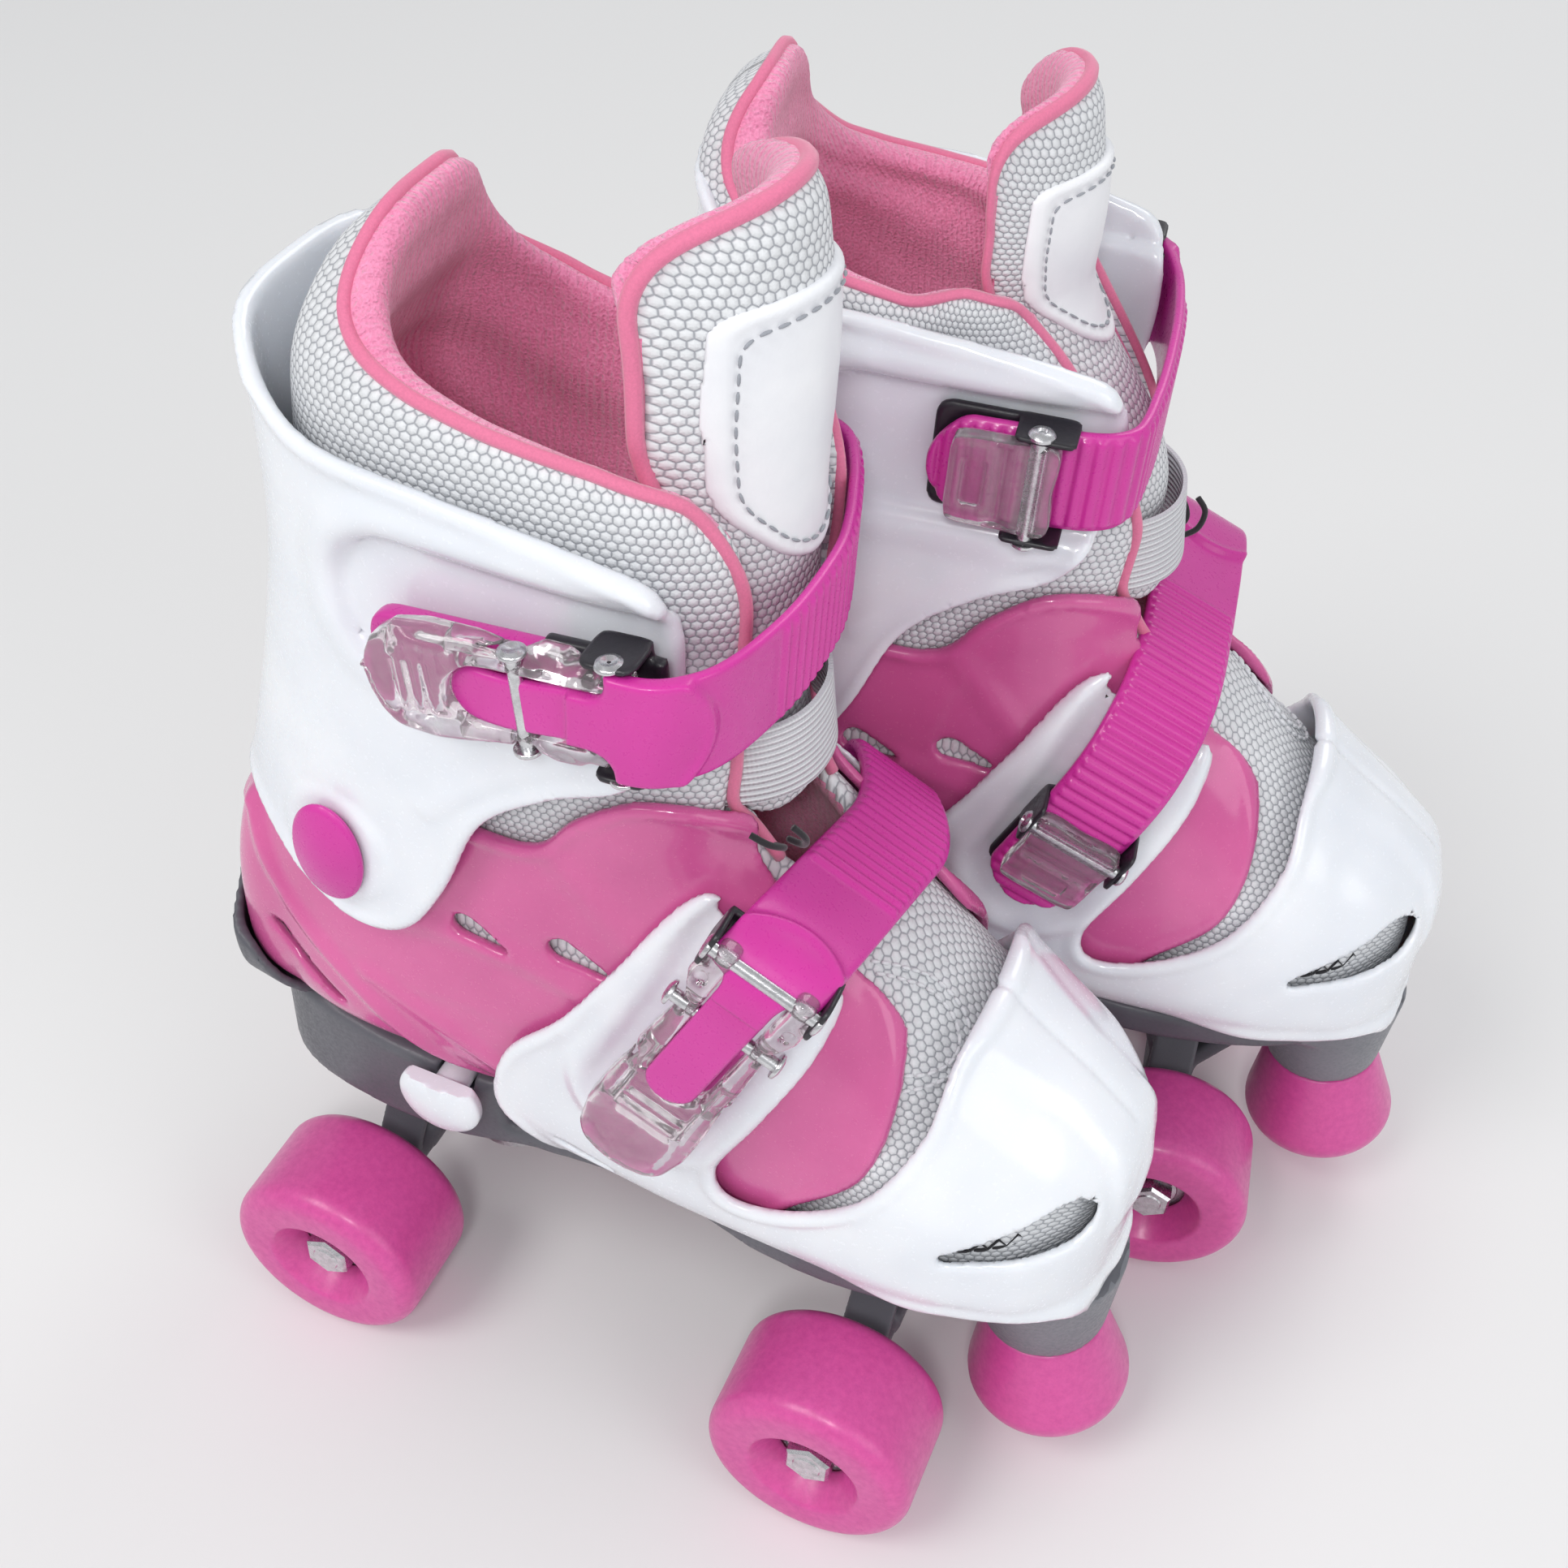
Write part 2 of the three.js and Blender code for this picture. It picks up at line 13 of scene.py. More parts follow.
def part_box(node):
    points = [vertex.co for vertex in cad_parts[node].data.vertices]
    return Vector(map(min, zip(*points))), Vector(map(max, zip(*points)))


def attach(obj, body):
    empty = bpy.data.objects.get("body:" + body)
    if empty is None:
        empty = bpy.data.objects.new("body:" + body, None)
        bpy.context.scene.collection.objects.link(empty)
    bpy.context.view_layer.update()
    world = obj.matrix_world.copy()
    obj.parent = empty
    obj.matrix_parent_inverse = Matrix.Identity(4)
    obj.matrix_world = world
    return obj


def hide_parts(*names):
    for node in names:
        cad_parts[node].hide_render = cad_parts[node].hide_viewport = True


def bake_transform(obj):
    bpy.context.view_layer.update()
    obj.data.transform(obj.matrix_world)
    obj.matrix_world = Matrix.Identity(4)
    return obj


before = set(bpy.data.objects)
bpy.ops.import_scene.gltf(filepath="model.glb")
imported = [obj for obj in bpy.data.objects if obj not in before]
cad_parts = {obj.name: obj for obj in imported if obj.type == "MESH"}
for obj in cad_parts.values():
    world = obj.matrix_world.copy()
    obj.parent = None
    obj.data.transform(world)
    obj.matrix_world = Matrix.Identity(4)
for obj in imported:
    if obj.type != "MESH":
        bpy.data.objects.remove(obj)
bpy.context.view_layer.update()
COARSE = 1.0
FINE = 1.3  # grid step of the moulded shells, in millimetres

# ---------------------------------------------------------------- where the two skates stand
HALF_BASE, TRACK, AXLE_Z = 69.0, 87.0, 27.0
KINGPIN_X, PIVOT_X = 42, 84  # how far a truck's two supports lie from the middle


def centre(node):
    low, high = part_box(node)
    return (np.array(low) + np.array(high)) / 2 * 1000


class Stand:
    """Turns points of a skate's own frame into metres in the row frame."""

    def __init__(self, side):
        front, rear = centre(f"{side}_front_axle"), centre(f"{side}_rear_axle")
        middle = (front + rear) / 2
        ahead = (front - rear)[:2] / np.linalg.norm((front - rear)[:2])
        self.name = side
        self.sign = 1 if side == "right" else -1
        self.turn = np.array([[ahead[0], -ahead[1], 0], [ahead[1], ahead[0], 0], [0, 0, 1]])
        self.origin = np.array([middle[0], middle[1], 0])

    def points(self, p):
        q = np.array(p, dtype=float).reshape(-1, 3).copy()
        q[:, 1] *= self.sign
        return (q @ self.turn.T + self.origin) / 1000

    def point(self, p):
        return tuple(self.points([p])[0])


STANDS = [Stand("right"), Stand("left")]

# ---------------------------------------------------------------- camera, light and floor
CAMERA_AT, AZIMUTH, ELEVATION, ROLL = (129.0, -279.0, 478.0), 19.93, 43.70, 4.75
SENSOR, FOCAL = 36, 44.42236  # millimetres


def set_camera():
    a, e, r = (math.radians(v) for v in (AZIMUTH, ELEVATION, ROLL))
    right = Vector((math.cos(a), math.sin(a), 0))
    ahead = Vector((-math.sin(a) * math.cos(e), math.cos(a) * math.cos(e), -math.sin(e)))
    up = right.cross(ahead)
    side = math.cos(r) * right + math.sin(r) * up
    top = math.cos(r) * up - math.sin(r) * right
    camera = bpy.data.objects.new("camera", bpy.data.cameras.new("camera"))
    camera.data.lens, camera.data.sensor_width = FOCAL, SENSOR
    place = Matrix((side, top, -ahead)).transposed().to_4x4()
    place.translation = Vector(STANDS[0].point(CAMERA_AT))
    camera.matrix_world = place
    bpy.context.collection.objects.link(camera)
    bpy.context.scene.camera = camera


def lamp(name, at, towards, size, power, colour=(1, 1, 1)):
    light = bpy.data.lights.new(name, "AREA")
    light.shape, light.size, light.energy, light.color = "DISK", size, power, colour
    item = bpy.data.objects.new(name, light)
    item.location = at
    item.rotation_euler = (Vector(towards) - Vector(at)).to_track_quat("-Z", "Y").to_euler()
    bpy.context.collection.objects.link(item)


def set_stage():
    mesh = bpy.data.meshes.new("floor")
    mesh.from_pydata([(-6, -6, 0), (6, -6, 0), (6, 6, 0), (-6, 6, 0)], [], [(0, 1, 2, 3)])
    floor = bpy.data.objects.new("floor", mesh)
    bpy.context.collection.objects.link(floor)
    ground = bpy.data.materials.new("floor")
    ground.use_nodes = True
    base = ground.node_tree.nodes["Principled BSDF"]
    base.inputs["Base Color"].default_value = (0.80, 0.80, 0.80, 1)
    base.inputs["Roughness"].default_value = 0.9
    mesh.materials.append(ground)
    world = bpy.data.worlds.new("studio")
    world.use_nodes = True
    world.node_tree.nodes["Background"].inputs[0].default_value = (0.93, 0.94, 0.96, 1)
    world.node_tree.nodes["Background"].inputs[1].default_value = 0.60
    bpy.context.scene.world = world
    lamp("key", (-0.7, -1.1, 1.7), (0, 0, 0.12), 0.9, 13.5, (1, 0.99, 0.97))
    lamp("fill", (1.5, -0.6, 1.0), (0, 0, 0.15), 1.2, 5.5)
    lamp("rim", (0.3, 1.5, 1.5), (0, 0, 0.15), 1.0, 7)
    lamp("flash", (0.15, -0.6, 0.75), (0, 0, 0.12), 0.12, 1.6)
    scene = bpy.context.scene
    scene.view_settings.view_transform = "Standard"
    scene.view_settings.look = "None"
    scene.view_settings.exposure = 0


set_camera()
set_stage()

# ---------------------------------------------------------------- meshes from distance fields
# Fields are in millimetres: negative inside, positive outside.


class Grid:
    """A block of points with an even step, and the coordinates along its axes."""

    def __init__(self, low, high, step):
        step *= COARSE
        self.low, self.step = np.array(low, dtype=float), step
        count = [int(math.ceil((b - a) / step)) + 1 for a, b in zip(low, high)]
        axes = [low[i] + step * np.arange(count[i]) for i in range(3)]
        self.x = axes[0][:, None, None].astype(np.float32)
        self.y = axes[1][None, :, None].astype(np.float32)
        self.z = axes[2][None, None, :].astype(np.float32)
        self.axes = self.x, self.y, self.z, np.abs(self.y)
        self.shape = tuple(count)

    def full(self, field):
        return np.broadcast_to(field, self.shape).astype(np.float32)

    def distance(self, field):
        """Scales a field so that it measures millimetres near its surface."""
        field = self.full(field)
        gx, gy, gz = np.gradient(field, self.step)
        return field / np.maximum(np.sqrt(gx * gx + gy * gy + gz * gz), 1e-4)


def smax(a, b, k):
    h = np.maximum(k - np.abs(a - b), 0) / k
    return np.maximum(a, b) + h * h * k / 4


def smin(a, b, k):
    return -smax(-a, -b, k)


def cut(d, hole, k):
    """Takes a hole out of a solid, with its edge rounded by k."""
    return smax(d, -hole, k)


def inside_all(*fields):
    """Where several solids overlap."""
    return functools.reduce(np.maximum, fields)


def between(v, low, high):
    """A slab from one value to another along an axis."""
    return np.maximum(low - v, v - high)


def step01(v, a, b):
    t = np.clip((v - a) / (b - a), 0, 1)
    return t * t * (3 - 2 * t)


def hill(d, width):
    """1 on a line, falling smoothly to 0 at a distance of width from it."""
    t = np.clip(1 - np.abs(d) / width, 0, 1)
    return t * t * (3 - 2 * t)


def sample(field, grid, points):
    """Reads a field and its slope at points, between the grid's own."""
    q = (points - grid.low) / grid.step
    i = np.clip(np.floor(q).astype(int), 0, np.array(grid.shape) - 2)
    t = q - i
    c = [field[i[:, 0] + a, i[:, 1] + b, i[:, 2] + d] for a in (0, 1) for b in (0, 1) for d in (0, 1)]
    tx, ty, tz = t.T
    x0 = [c[k] * (1 - tx) + c[k + 4] * tx for k in range(4)]
    dx = [c[k + 4] - c[k] for k in range(4)]
    y0 = [x0[k] * (1 - ty) + x0[k + 2] * ty for k in range(2)]
    value = y0[0] * (1 - tz) + y0[1] * tz
    gx = ((dx[0] * (1 - ty) + dx[2] * ty) * (1 - tz) + (dx[1] * (1 - ty) + dx[3] * ty) * tz) / grid.step
    gy = ((x0[2] - x0[0]) * (1 - tz) + (x0[3] - x0[1]) * tz) / grid.step
    gz = (y0[1] - y0[0]) / grid.step
    return value, np.stack([gx, gy, gz], axis=1)


def surface(field, grid, relax=4):
    """Points and quads of the surface where the field is zero, facing out."""
    field = grid.full(field).copy()
    for axis in range(3):
        for end in (0, -1):
            edge = [slice(None)] * 3
            edge[axis] = end
            field[tuple(edge)] = np.maximum(field[tuple(edge)], 0.5)
    inside = field < 0
    count = np.zeros(tuple(n - 1 for n in grid.shape), dtype=np.uint8)
    for a in (0, 1):
        for b in (0, 1):
            for c in (0, 1):
                count += inside[a:grid.shape[0] - 1 + a, b:grid.shape[1] - 1 + b, c:grid.shape[2] - 1 + c]
    active = (count > 0) & (count < 8)
    cells = np.argwhere(active)
    index = -np.ones(active.shape, dtype=np.int64)
    index[active] = np.arange(len(cells))
    total, hits = np.zeros((len(cells), 3)), np.zeros(len(cells))
    for axis in range(3):
        for b in (0, 1):
            for c in (0, 1):
                start = np.zeros(3, dtype=int)
                start[(axis + 1) % 3], start[(axis + 2) % 3] = b, c
                end = start.copy()
                end[axis] = 1
                p, q = cells + start, cells + end
                f0, f1 = field[tuple(p.T)], field[tuple(q.T)]
                cross = (f0 < 0) != (f1 < 0)
                t = f0[cross] / (f0[cross] - f1[cross])
                total[cross] += start + t[:, None] * (end - start)
                hits[cross] += 1
    points = (cells + total / hits[:, None]) * grid.step + grid.low
    quads = []
    for axis in range(3):
        u, v = (axis + 1) % 3, (axis + 2) % 3
        lower = [slice(1, -1)] * 3
        lower[axis] = slice(0, -1)
        upper = list(lower)
        upper[axis] = slice(1, None)
        a, b = inside[tuple(lower)], inside[tuple(upper)]
        at = np.argwhere(a != b)
        first = a[a != b]
        at = at + 1
        at[:, axis] -= 1
        corner = []
        for du, dv in ((-1, -1), (0, -1), (0, 0), (-1, 0)):
            cell = at.copy()
            cell[:, u] += du
            cell[:, v] += dv
            corner.append(index[tuple(cell.T)])
        quad = np.stack(corner, axis=1)
        quad[~first] = quad[~first][:, ::-1]
        quads.append(quad)
    quads = np.concatenate(quads)
    ends = np.concatenate([quads[:, [0, 1]], quads[:, [1, 2]], quads[:, [2, 3]], quads[:, [3, 0]]])
    degree = np.maximum(np.bincount(ends[:, 0], minlength=len(points)), 1)
    for _ in range(relax):
        mean = np.zeros_like(points)
        for k in range(3):
            mean[:, k] = np.bincount(ends[:, 0], points[ends[:, 1], k], minlength=len(points)) / degree
        moved = 0.4 * points + 0.6 * mean
        value, slope = sample(field, grid, moved)
        size = np.maximum((slope ** 2).sum(axis=1), 0.05)
        push = np.clip(value / size, -grid.step, grid.step)
        points = moved - push[:, None] * slope
    return points, quads


class Curve1:
    """A smooth curve through (position, value) pairs."""

    def __init__(self, at, value):
        self.at, self.value = np.array(at, dtype=float), np.array(value, dtype=float)
        step = np.diff(self.at)
        rise = np.diff(self.value) / step
        slope = np.empty(len(at))
        slope[0], slope[-1] = rise[0], rise[-1]
        slope[1:-1] = (rise[:-1] * step[1:] + rise[1:] * step[:-1]) / (step[1:] + step[:-1])
        turn = np.sign(rise[:-1]) != np.sign(rise[1:])
        slope[1:-1][turn] *= 0.4
        self.slope = slope

    def __call__(self, x):
        i = np.clip(np.searchsorted(self.at, x) - 1, 0, len(self.at) - 2)
        h = self.at[i + 1] - self.at[i]
        t = np.clip((x - self.at[i]) / h, 0, 1)
        return ((1 + 2 * t) * (1 - t) ** 2 * self.value[i] + t * (1 - t) ** 2 * h * self.slope[i]
                + t * t * (3 - 2 * t) * self.value[i + 1] + t * t * (t - 1) * h * self.slope[i + 1])


def spline(points, closed=True, per=6):
    """A smooth line through points of any dimension (Catmull-Rom)."""
    p = np.array(points, dtype=float)
    n = len(p)
    out = []
    for i in range(n if closed else n - 1):
        a, b, c, d = (p[(i + k) % n] if closed else p[min(max(i + k, 0), n - 1)] for k in (-1, 0, 1, 2))
        for t in np.arange(per) / per:
            out.append(0.5 * (2 * b + (c - a) * t + (2 * a - 5 * b + 4 * c - d) * t * t
                              + (3 * b - a - 3 * c + d) * t ** 3))
    if not closed:
        out.append(p[-1])
    return np.array(out)


def line_distance(u, v, line, closed=False):
    """Distance from points (u, v) to a polyline, and which side of a closed one they are on."""
    shape = np.broadcast(u, v).shape
    u, v = (np.broadcast_to(w, shape).ravel().astype(np.float64) for w in (u, v))
    best = np.full(u.size, 1e9)
    inside = np.zeros(u.size, dtype=bool)
    pairs = list(zip(line, line[1:])) + ([(line[-1], line[0])] if closed else [])
    for (ax, ay), (bx, by) in pairs:
        ex, ey = bx - ax, by - ay
        size = max(ex * ex + ey * ey, 1e-9)
        t = np.clip(((u - ax) * ex + (v - ay) * ey) / size, 0, 1)
        best = np.minimum(best, (u - ax - t * ex) ** 2 + (v - ay - t * ey) ** 2)
        if closed:
            above = (ay > v) != (by > v)
            inside ^= above & (u < ex * (v - ay) / (ey if ey else 1e-12) + ax)
    best = np.sqrt(best)
    if closed:
        best = np.where(inside, -best, best)
    return best.reshape(shape).astype(np.float32)


def side_region(grid, outline, smooth=True):
    """Signed distance to a side outline of (x, z) points, the same at every y."""
    line = spline(outline) if smooth else np.array(outline, dtype=float)
    return line_distance(grid.x, grid.z, line, closed=True)


def side_line(grid, points):
    return line_distance(grid.x, grid.z, spline(points, closed=False))


# ---------------------------------------------------------------- the boot's own shape
FOOT = [  # x, lowest, highest, half width, height of the widest point
    (-110, 120, 134, 4, 128), (-103, 110, 146, 13, 128), (-96, 104, 161, 25, 128),
    (-80, 101, 178, 32, 128), (-28, 96, 200, 34, 126), (2, 88, 204, 34, 120), (24, 84, 199, 35, 114),
    (56, 84, 170, 36, 108), (86, 84, 143, 33, 104), (102, 86, 131, 26, 104), (112, 91, 122, 15, 105),
    (119, 97, 115, 5, 106),
]
LEG = [  # z, rear, front, half width
    (140, -95, 0, 30), (180, -88, 26, 32), (215, -80, 32, 33), (285, -72, 29, 36), (328, -62, 26, 37),
]
CUFF = [
    (140, -104, 44, 43.5), (180, -95, 44, 42.6), (215, -87, 44, 42), (250, -82, 44, 41.5),
    (310, -83.5, 44, 42.5),
]
LEG_FROM = 138  # height at which the leg starts to grow out of the foot
TOE_TRAVEL = 20
TOE = []
for row in FOOT:
    passed = [r for r in FOOT if row[0] <= r[0] <= row[0] + TOE_TRAVEL + 12]
    TOE.append((row[0] + (4 if row[0] > 60 else 0), 84, max(r[2] for r in passed),
                (max(r[3] for r in passed) if row[0] < 110 else row[3]) + 0.6, row[4] - 3))


def columns(table, at):
    """Smooth values of a table's further columns at places along its first one."""
    rows = [r[0] for r in table]
    return [Curve1(rows, [r[k] for r in table])(at) for k in range(1, len(table[0]))]


def foot_field(grid, table=FOOT, ends=(-104.5, 116.5)):
    low, high, half, waist = columns(table, grid.x)
    rise = grid.z - waist
    above = rise > 0
    b = np.abs(np.where(above, rise / (high - waist), rise / (waist - low)))
    n = np.where(above, 2.4, 4.0)
    a = np.abs(grid.y) / half
    stretch = np.maximum((a ** n + b ** n) ** (1 / n), 1e-3)
    d = grid.distance(np.sqrt(grid.y ** 2 + rise ** 2) * (1 - 1 / stretch))
    d = np.where(stretch < 0.4, np.minimum(d, -12), d)
    return smax(d, np.maximum(ends[0] - grid.x, grid.x - ends[1]), 9)


def leg_field(grid, table=LEG, n=3.0):
    rear, front, half = columns(table, grid.z)
    along = grid.x - (rear + front) / 2
    stretch = (np.abs(along / ((front - rear) / 2)) ** n + (np.abs(grid.y) / half) ** n) ** (1 / n)
    stretch = np.maximum(stretch, 1e-3)
    d = grid.distance(np.sqrt(along ** 2 + grid.y ** 2) * (1 - 1 / stretch))
    return np.where(stretch < 0.4, np.minimum(d, -12), d)


def boot_field(grid):
    leg = np.maximum(leg_field(grid), LEG_FROM - grid.z)
    return smin(foot_field(grid), leg, 8)


# ---------------------------------------------------------------- making objects
def finish_mesh(name, stand, points, faces, materials, body, stands_for=(), slot=None, face_slots=None,
                coords=None, angle=None):
    """A mesh in a skate's own millimetres becomes an object that rides on one of its bodies."""
    mesh = bpy.data.meshes.new(f"{stand.name}_{name}")
    faces = [tuple(int(i) for i in f) for f in faces]
    if stand.sign < 0:
        faces = [f[::-1] for f in faces]
    mesh.from_pydata(stand.points(points).tolist(), [], faces)
    for material in materials if isinstance(materials, (list, tuple)) else [materials]:
        mesh.materials.append(material)
    if face_slots is not None:
        mesh.polygons.foreach_set("material_index", np.array(face_slots, dtype=np.int32))
    for key, values in (("local", points), ("knit", coords)):
        if values is not None:
            kept = mesh.attributes.new(key, "FLOAT_VECTOR", "POINT")
            kept.data.foreach_set("vector", np.array(values, dtype=np.float32).ravel())
    mesh.polygons.foreach_set("use_smooth", np.ones(len(faces), dtype=bool))
    if angle:
        mesh.set_sharp_from_angle(angle=math.radians(angle))
    mesh.update()
    item = bpy.data.objects.new(mesh.name, mesh)
    bpy.context.collection.objects.link(item)
    if body:
        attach(item, f"{stand.name}_{body}")
    for node in stands_for:
        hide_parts(f"{stand.name}_{node}")
    return item


def both(name, points, faces, materials, body, **more):
    """The same piece on the right skate and, mirrored, on the left."""
    return [finish_mesh(name, stand, points, faces, materials, body, **more) for stand in STANDS]


# ---------------------------------------------------------------- materials
class Shader:
    """A small helper that strings shader nodes together."""

    def __init__(self, name):
        self.material = bpy.data.materials.new(name)
        self.material.use_nodes = True
        self.tree = self.material.node_tree
        self.base = self.tree.nodes["Principled BSDF"]

    def feed(self, socket, value):
        if isinstance(value, bpy.types.NodeSocket):
            self.tree.links.new(value, socket)
        else:
            socket.default_value = value

    def node(self, kind, inputs, **settings):
        made = self.tree.nodes.new(kind)
        for key, value in settings.items():
            setattr(made, key, value)
        for key, value in inputs.items():
            self.feed(made.inputs[key], value)
        return made

    def set(self, **values):
        for key, value in values.items():
            self.feed(self.base.inputs[key.replace("_", " ")], value)

    def local(self, name="local"):
        return self.node("ShaderNodeAttribute", {}, attribute_name=name).outputs["Vector"]

    def noise(self, vector, scale, detail=3.0, rough=0.5):
        made = self.node("ShaderNodeTexNoise", {"Vector": vector, "Scale": scale, "Detail": detail,
                                                "Roughness": rough})
        return made.outputs["Fac"]

    def math(self, operation, a, b=0.0):
        return self.node("ShaderNodeMath", {0: a, 1: b}, operation=operation).outputs[0]

    def ramp(self, value, low, high, to_low=0.0, to_high=1.0, smooth=False):
        made = self.node("ShaderNodeMapRange", {"Value": value, "From Min": low, "From Max": high,
                                                "To Min": to_low, "To Max": to_high})
        if smooth:
            made.interpolation_type = "SMOOTHSTEP"
        return made.outputs["Result"]

    def mix(self, fac, a, b):
        return self.node("ShaderNodeMix", {0: fac, 6: a, 7: b}, data_type="RGBA").outputs[2]

    def bump(self, height, strength, distance, normal=None):
        """Distance is in metres."""
        inputs = {"Height": height, "Strength": strength, "Distance": distance}
        if normal is not None:
            inputs["Normal"] = normal
        return self.node("ShaderNodeBump", inputs).outputs["Normal"]

    def split(self, vector):
        return self.node("ShaderNodeSeparateXYZ", {0: vector}).outputs


def rgb(*screen):
    """A linear colour from one given in 8-bit screen values."""
    return tuple(((c / 255 + 0.055) / 1.055) ** 2.4 for c in screen) + (1.0,)


def dimmed(colour, factor):
    return tuple(factor * c for c in colour[:3]) + (1.0,)


def moulded(name, colour, dark, rough=0.22, coat=0.35, grain=0.0, soft=0.0):
    """Glossy injection-moulded plastic: slow flow ripples and fine scuffs that darken it a little."""
    s = Shader(name)
    p = s.local()
    cloud = s.noise(p, 0.035, 2)
    scuff = s.noise(p, 0.9, 6, 0.65)
    fine = s.noise(p, 3.5, 2)
    tone = s.mix(s.ramp(cloud, 0.3, 0.7), colour, dark)
    marks = s.ramp(scuff, 0.60, 0.74)
    s.set(Base_Color=s.mix(s.math("MULTIPLY", marks, 0.10), tone, dark))
    s.set(Roughness=s.math("ADD", s.ramp(scuff, 0.35, 0.75, rough * 0.8, rough * 1.6),
                           s.math("MULTIPLY", marks, 0.08)))
    ripple = s.bump(s.noise(p, 0.08, 1), 0.25, 0.0006)
    texture = s.bump(fine, 0.08 + grain, 0.00012, ripple)
    s.set(Normal=texture, IOR=1.5, Coat_Weight=coat, Coat_Roughness=0.08)
    if soft:
        s.set(Subsurface_Weight=soft, Subsurface_Radius=(0.004, 0.003, 0.0025), Subsurface_Scale=0.6)
    return s.material


WHITE = moulded("white_plastic", rgb(238, 241, 246), rgb(226, 230, 237), 0.2, 0.4, soft=0.12)
PINK = moulded("pink_plastic", rgb(214, 98, 158), rgb(200, 84, 146), 0.2, 0.4, soft=0.08)
MAGENTA = moulded("magenta_strap_plastic", rgb(208, 52, 158), rgb(198, 46, 149), 0.3, 0.15, soft=0.08)
GREY = moulded("dark_grey_plastic", rgb(98, 99, 106), rgb(82, 83, 90), 0.42, 0.05, grain=0.25)
MOUNT = moulded("grey_mount_plastic", rgb(122, 124, 131), rgb(108, 110, 117), 0.4, 0.08, grain=0.2)
BLACK = moulded("black_plastic", rgb(38, 36, 44), rgb(26, 24, 30), 0.35, 0.1, grain=0.2)


def urethane(name, colour, dark):
    """Cast urethane: satin, slightly scuffed round the tread, with light passing into it."""
    s = Shader(name)
    p = s.local()
    scuff = s.noise(p, 0.5, 7, 0.7)
    s.set(Base_Color=s.mix(s.ramp(scuff, 0.35, 0.7), colour, dark))
    s.set(Roughness=s.ramp(scuff, 0.3, 0.7, 0.28, 0.42))
    s.set(Normal=s.bump(s.noise(p, 1.6, 4), 0.12, 0.00025))
    s.set(Subsurface_Weight=0.2, Subsurface_Radius=(0.006, 0.002, 0.003), Subsurface_Scale=0.8,
          Coat_Weight=0.15, Coat_Roughness=0.2)
    return s.material


URETHANE = urethane("wheel_urethane", rgb(216, 84, 160), rgb(200, 70, 146))
STOPPER = urethane("stop_rubber_pink", rgb(216, 84, 160), rgb(202, 72, 148))


def metal(name, tint, rough):
    """Plated steel with fine drawn lines and dull spots."""
    s = Shader(name)
    p = s.local()
    streak = s.node("ShaderNodeVectorMath", {0: p, 1: (1.0, 1.0, 8.0)}, operation="MULTIPLY").outputs[0]
    lines = s.noise(streak, 1.0, 3)
    spots = s.noise(p, 0.6, 4)
    s.set(Base_Color=s.mix(s.ramp(spots, 0.4, 0.75), tint, dimmed(tint, 0.72)))
    s.set(Metallic=1.0, Roughness=s.ramp(lines, 0.3, 0.7, rough * 0.8, rough * 1.4))
    s.set(Normal=s.bump(lines, 0.1, 0.0001))
    return s.material


STEEL = metal("zinc_steel", (0.70, 0.70, 0.72, 1), 0.24)
NICKEL = metal("nickel_shield", (0.58, 0.58, 0.60, 1), 0.3)


def clear():
    """Clear polycarbonate with faint haze and moulding marks."""
    s = Shader("clear_polycarbonate")
    p = s.local()
    haze = s.noise(p, 0.35, 4)
    s.set(Base_Color=s.mix(s.ramp(haze, 0.35, 0.7), rgb(252, 249, 250), rgb(240, 226, 235)))
    s.set(Roughness=s.ramp(haze, 0.3, 0.75, 0.02, 0.12), IOR=1.49, Transmission_Weight=0.93)
    s.set(Normal=s.bump(s.noise(p, 0.25, 2), 0.3, 0.0006), Coat_Weight=0.3, Coat_Roughness=0.03)
    return s.material


CLEAR = clear()


def honeycomb(name, light, gap, cell=2.15):
    """Spacer-mesh knit: padded hexagonal cells with painted shade in the gaps between them, on (along, up)
    coordinates in mm.
    """
    s = Shader(name)
    x, y, _ = s.split(s.local("knit"))
    wide, tall = cell, cell * 1.732
    best = None
    for shift in (0.0, 0.5):
        u = s.math("SUBTRACT", s.math("FRACT", s.math("ADD", s.math("DIVIDE", x, wide), shift)), 0.5)
        v = s.math("SUBTRACT", s.math("FRACT", s.math("ADD", s.math("DIVIDE", y, tall), shift)), 0.5)
        u = s.math("ABSOLUTE", s.math("MULTIPLY", u, wide))
        v = s.math("ABSOLUTE", s.math("MULTIPLY", v, tall))
        slanted = s.math("ADD", s.math("MULTIPLY", u, 0.5), s.math("MULTIPLY", v, 0.866))
        reach = s.math("MAXIMUM", u, slanted)
        best = reach if best is None else s.math("MINIMUM", best, reach)
    edge = s.ramp(best, cell * 0.36, cell * 0.5, 0.0, 1.0, smooth=True)
    yarn = s.noise(s.local("knit"), 2.2, 3)
    fluff = s.noise(s.local(), 0.5, 3)
    shade = s.mix(s.ramp(fluff, 0.3, 0.7), light, dimmed(light, 0.90))
    # the gap colour is painted shade, laid where the cells' domes fall away into the recesses between them
    s.set(Base_Color=s.mix(edge, shade, gap))
    s.set(Roughness=0.82, Sheen_Weight=0.25, Sheen_Roughness=0.5, Specular_IOR_Level=0.25)
    dome = s.math("SUBTRACT", 1.0, s.math("POWER", s.math("DIVIDE", best, cell * 0.5), 2.2))
    first = s.bump(dome, 0.7, 0.0006)
    s.set(Normal=s.bump(yarn, 0.35, 0.0003, first))
    return s.material


# second colour: the painted shade of the recessed gaps between the cells
MESH = honeycomb("honeycomb_knit", rgb(228, 230, 233), rgb(164, 167, 174))


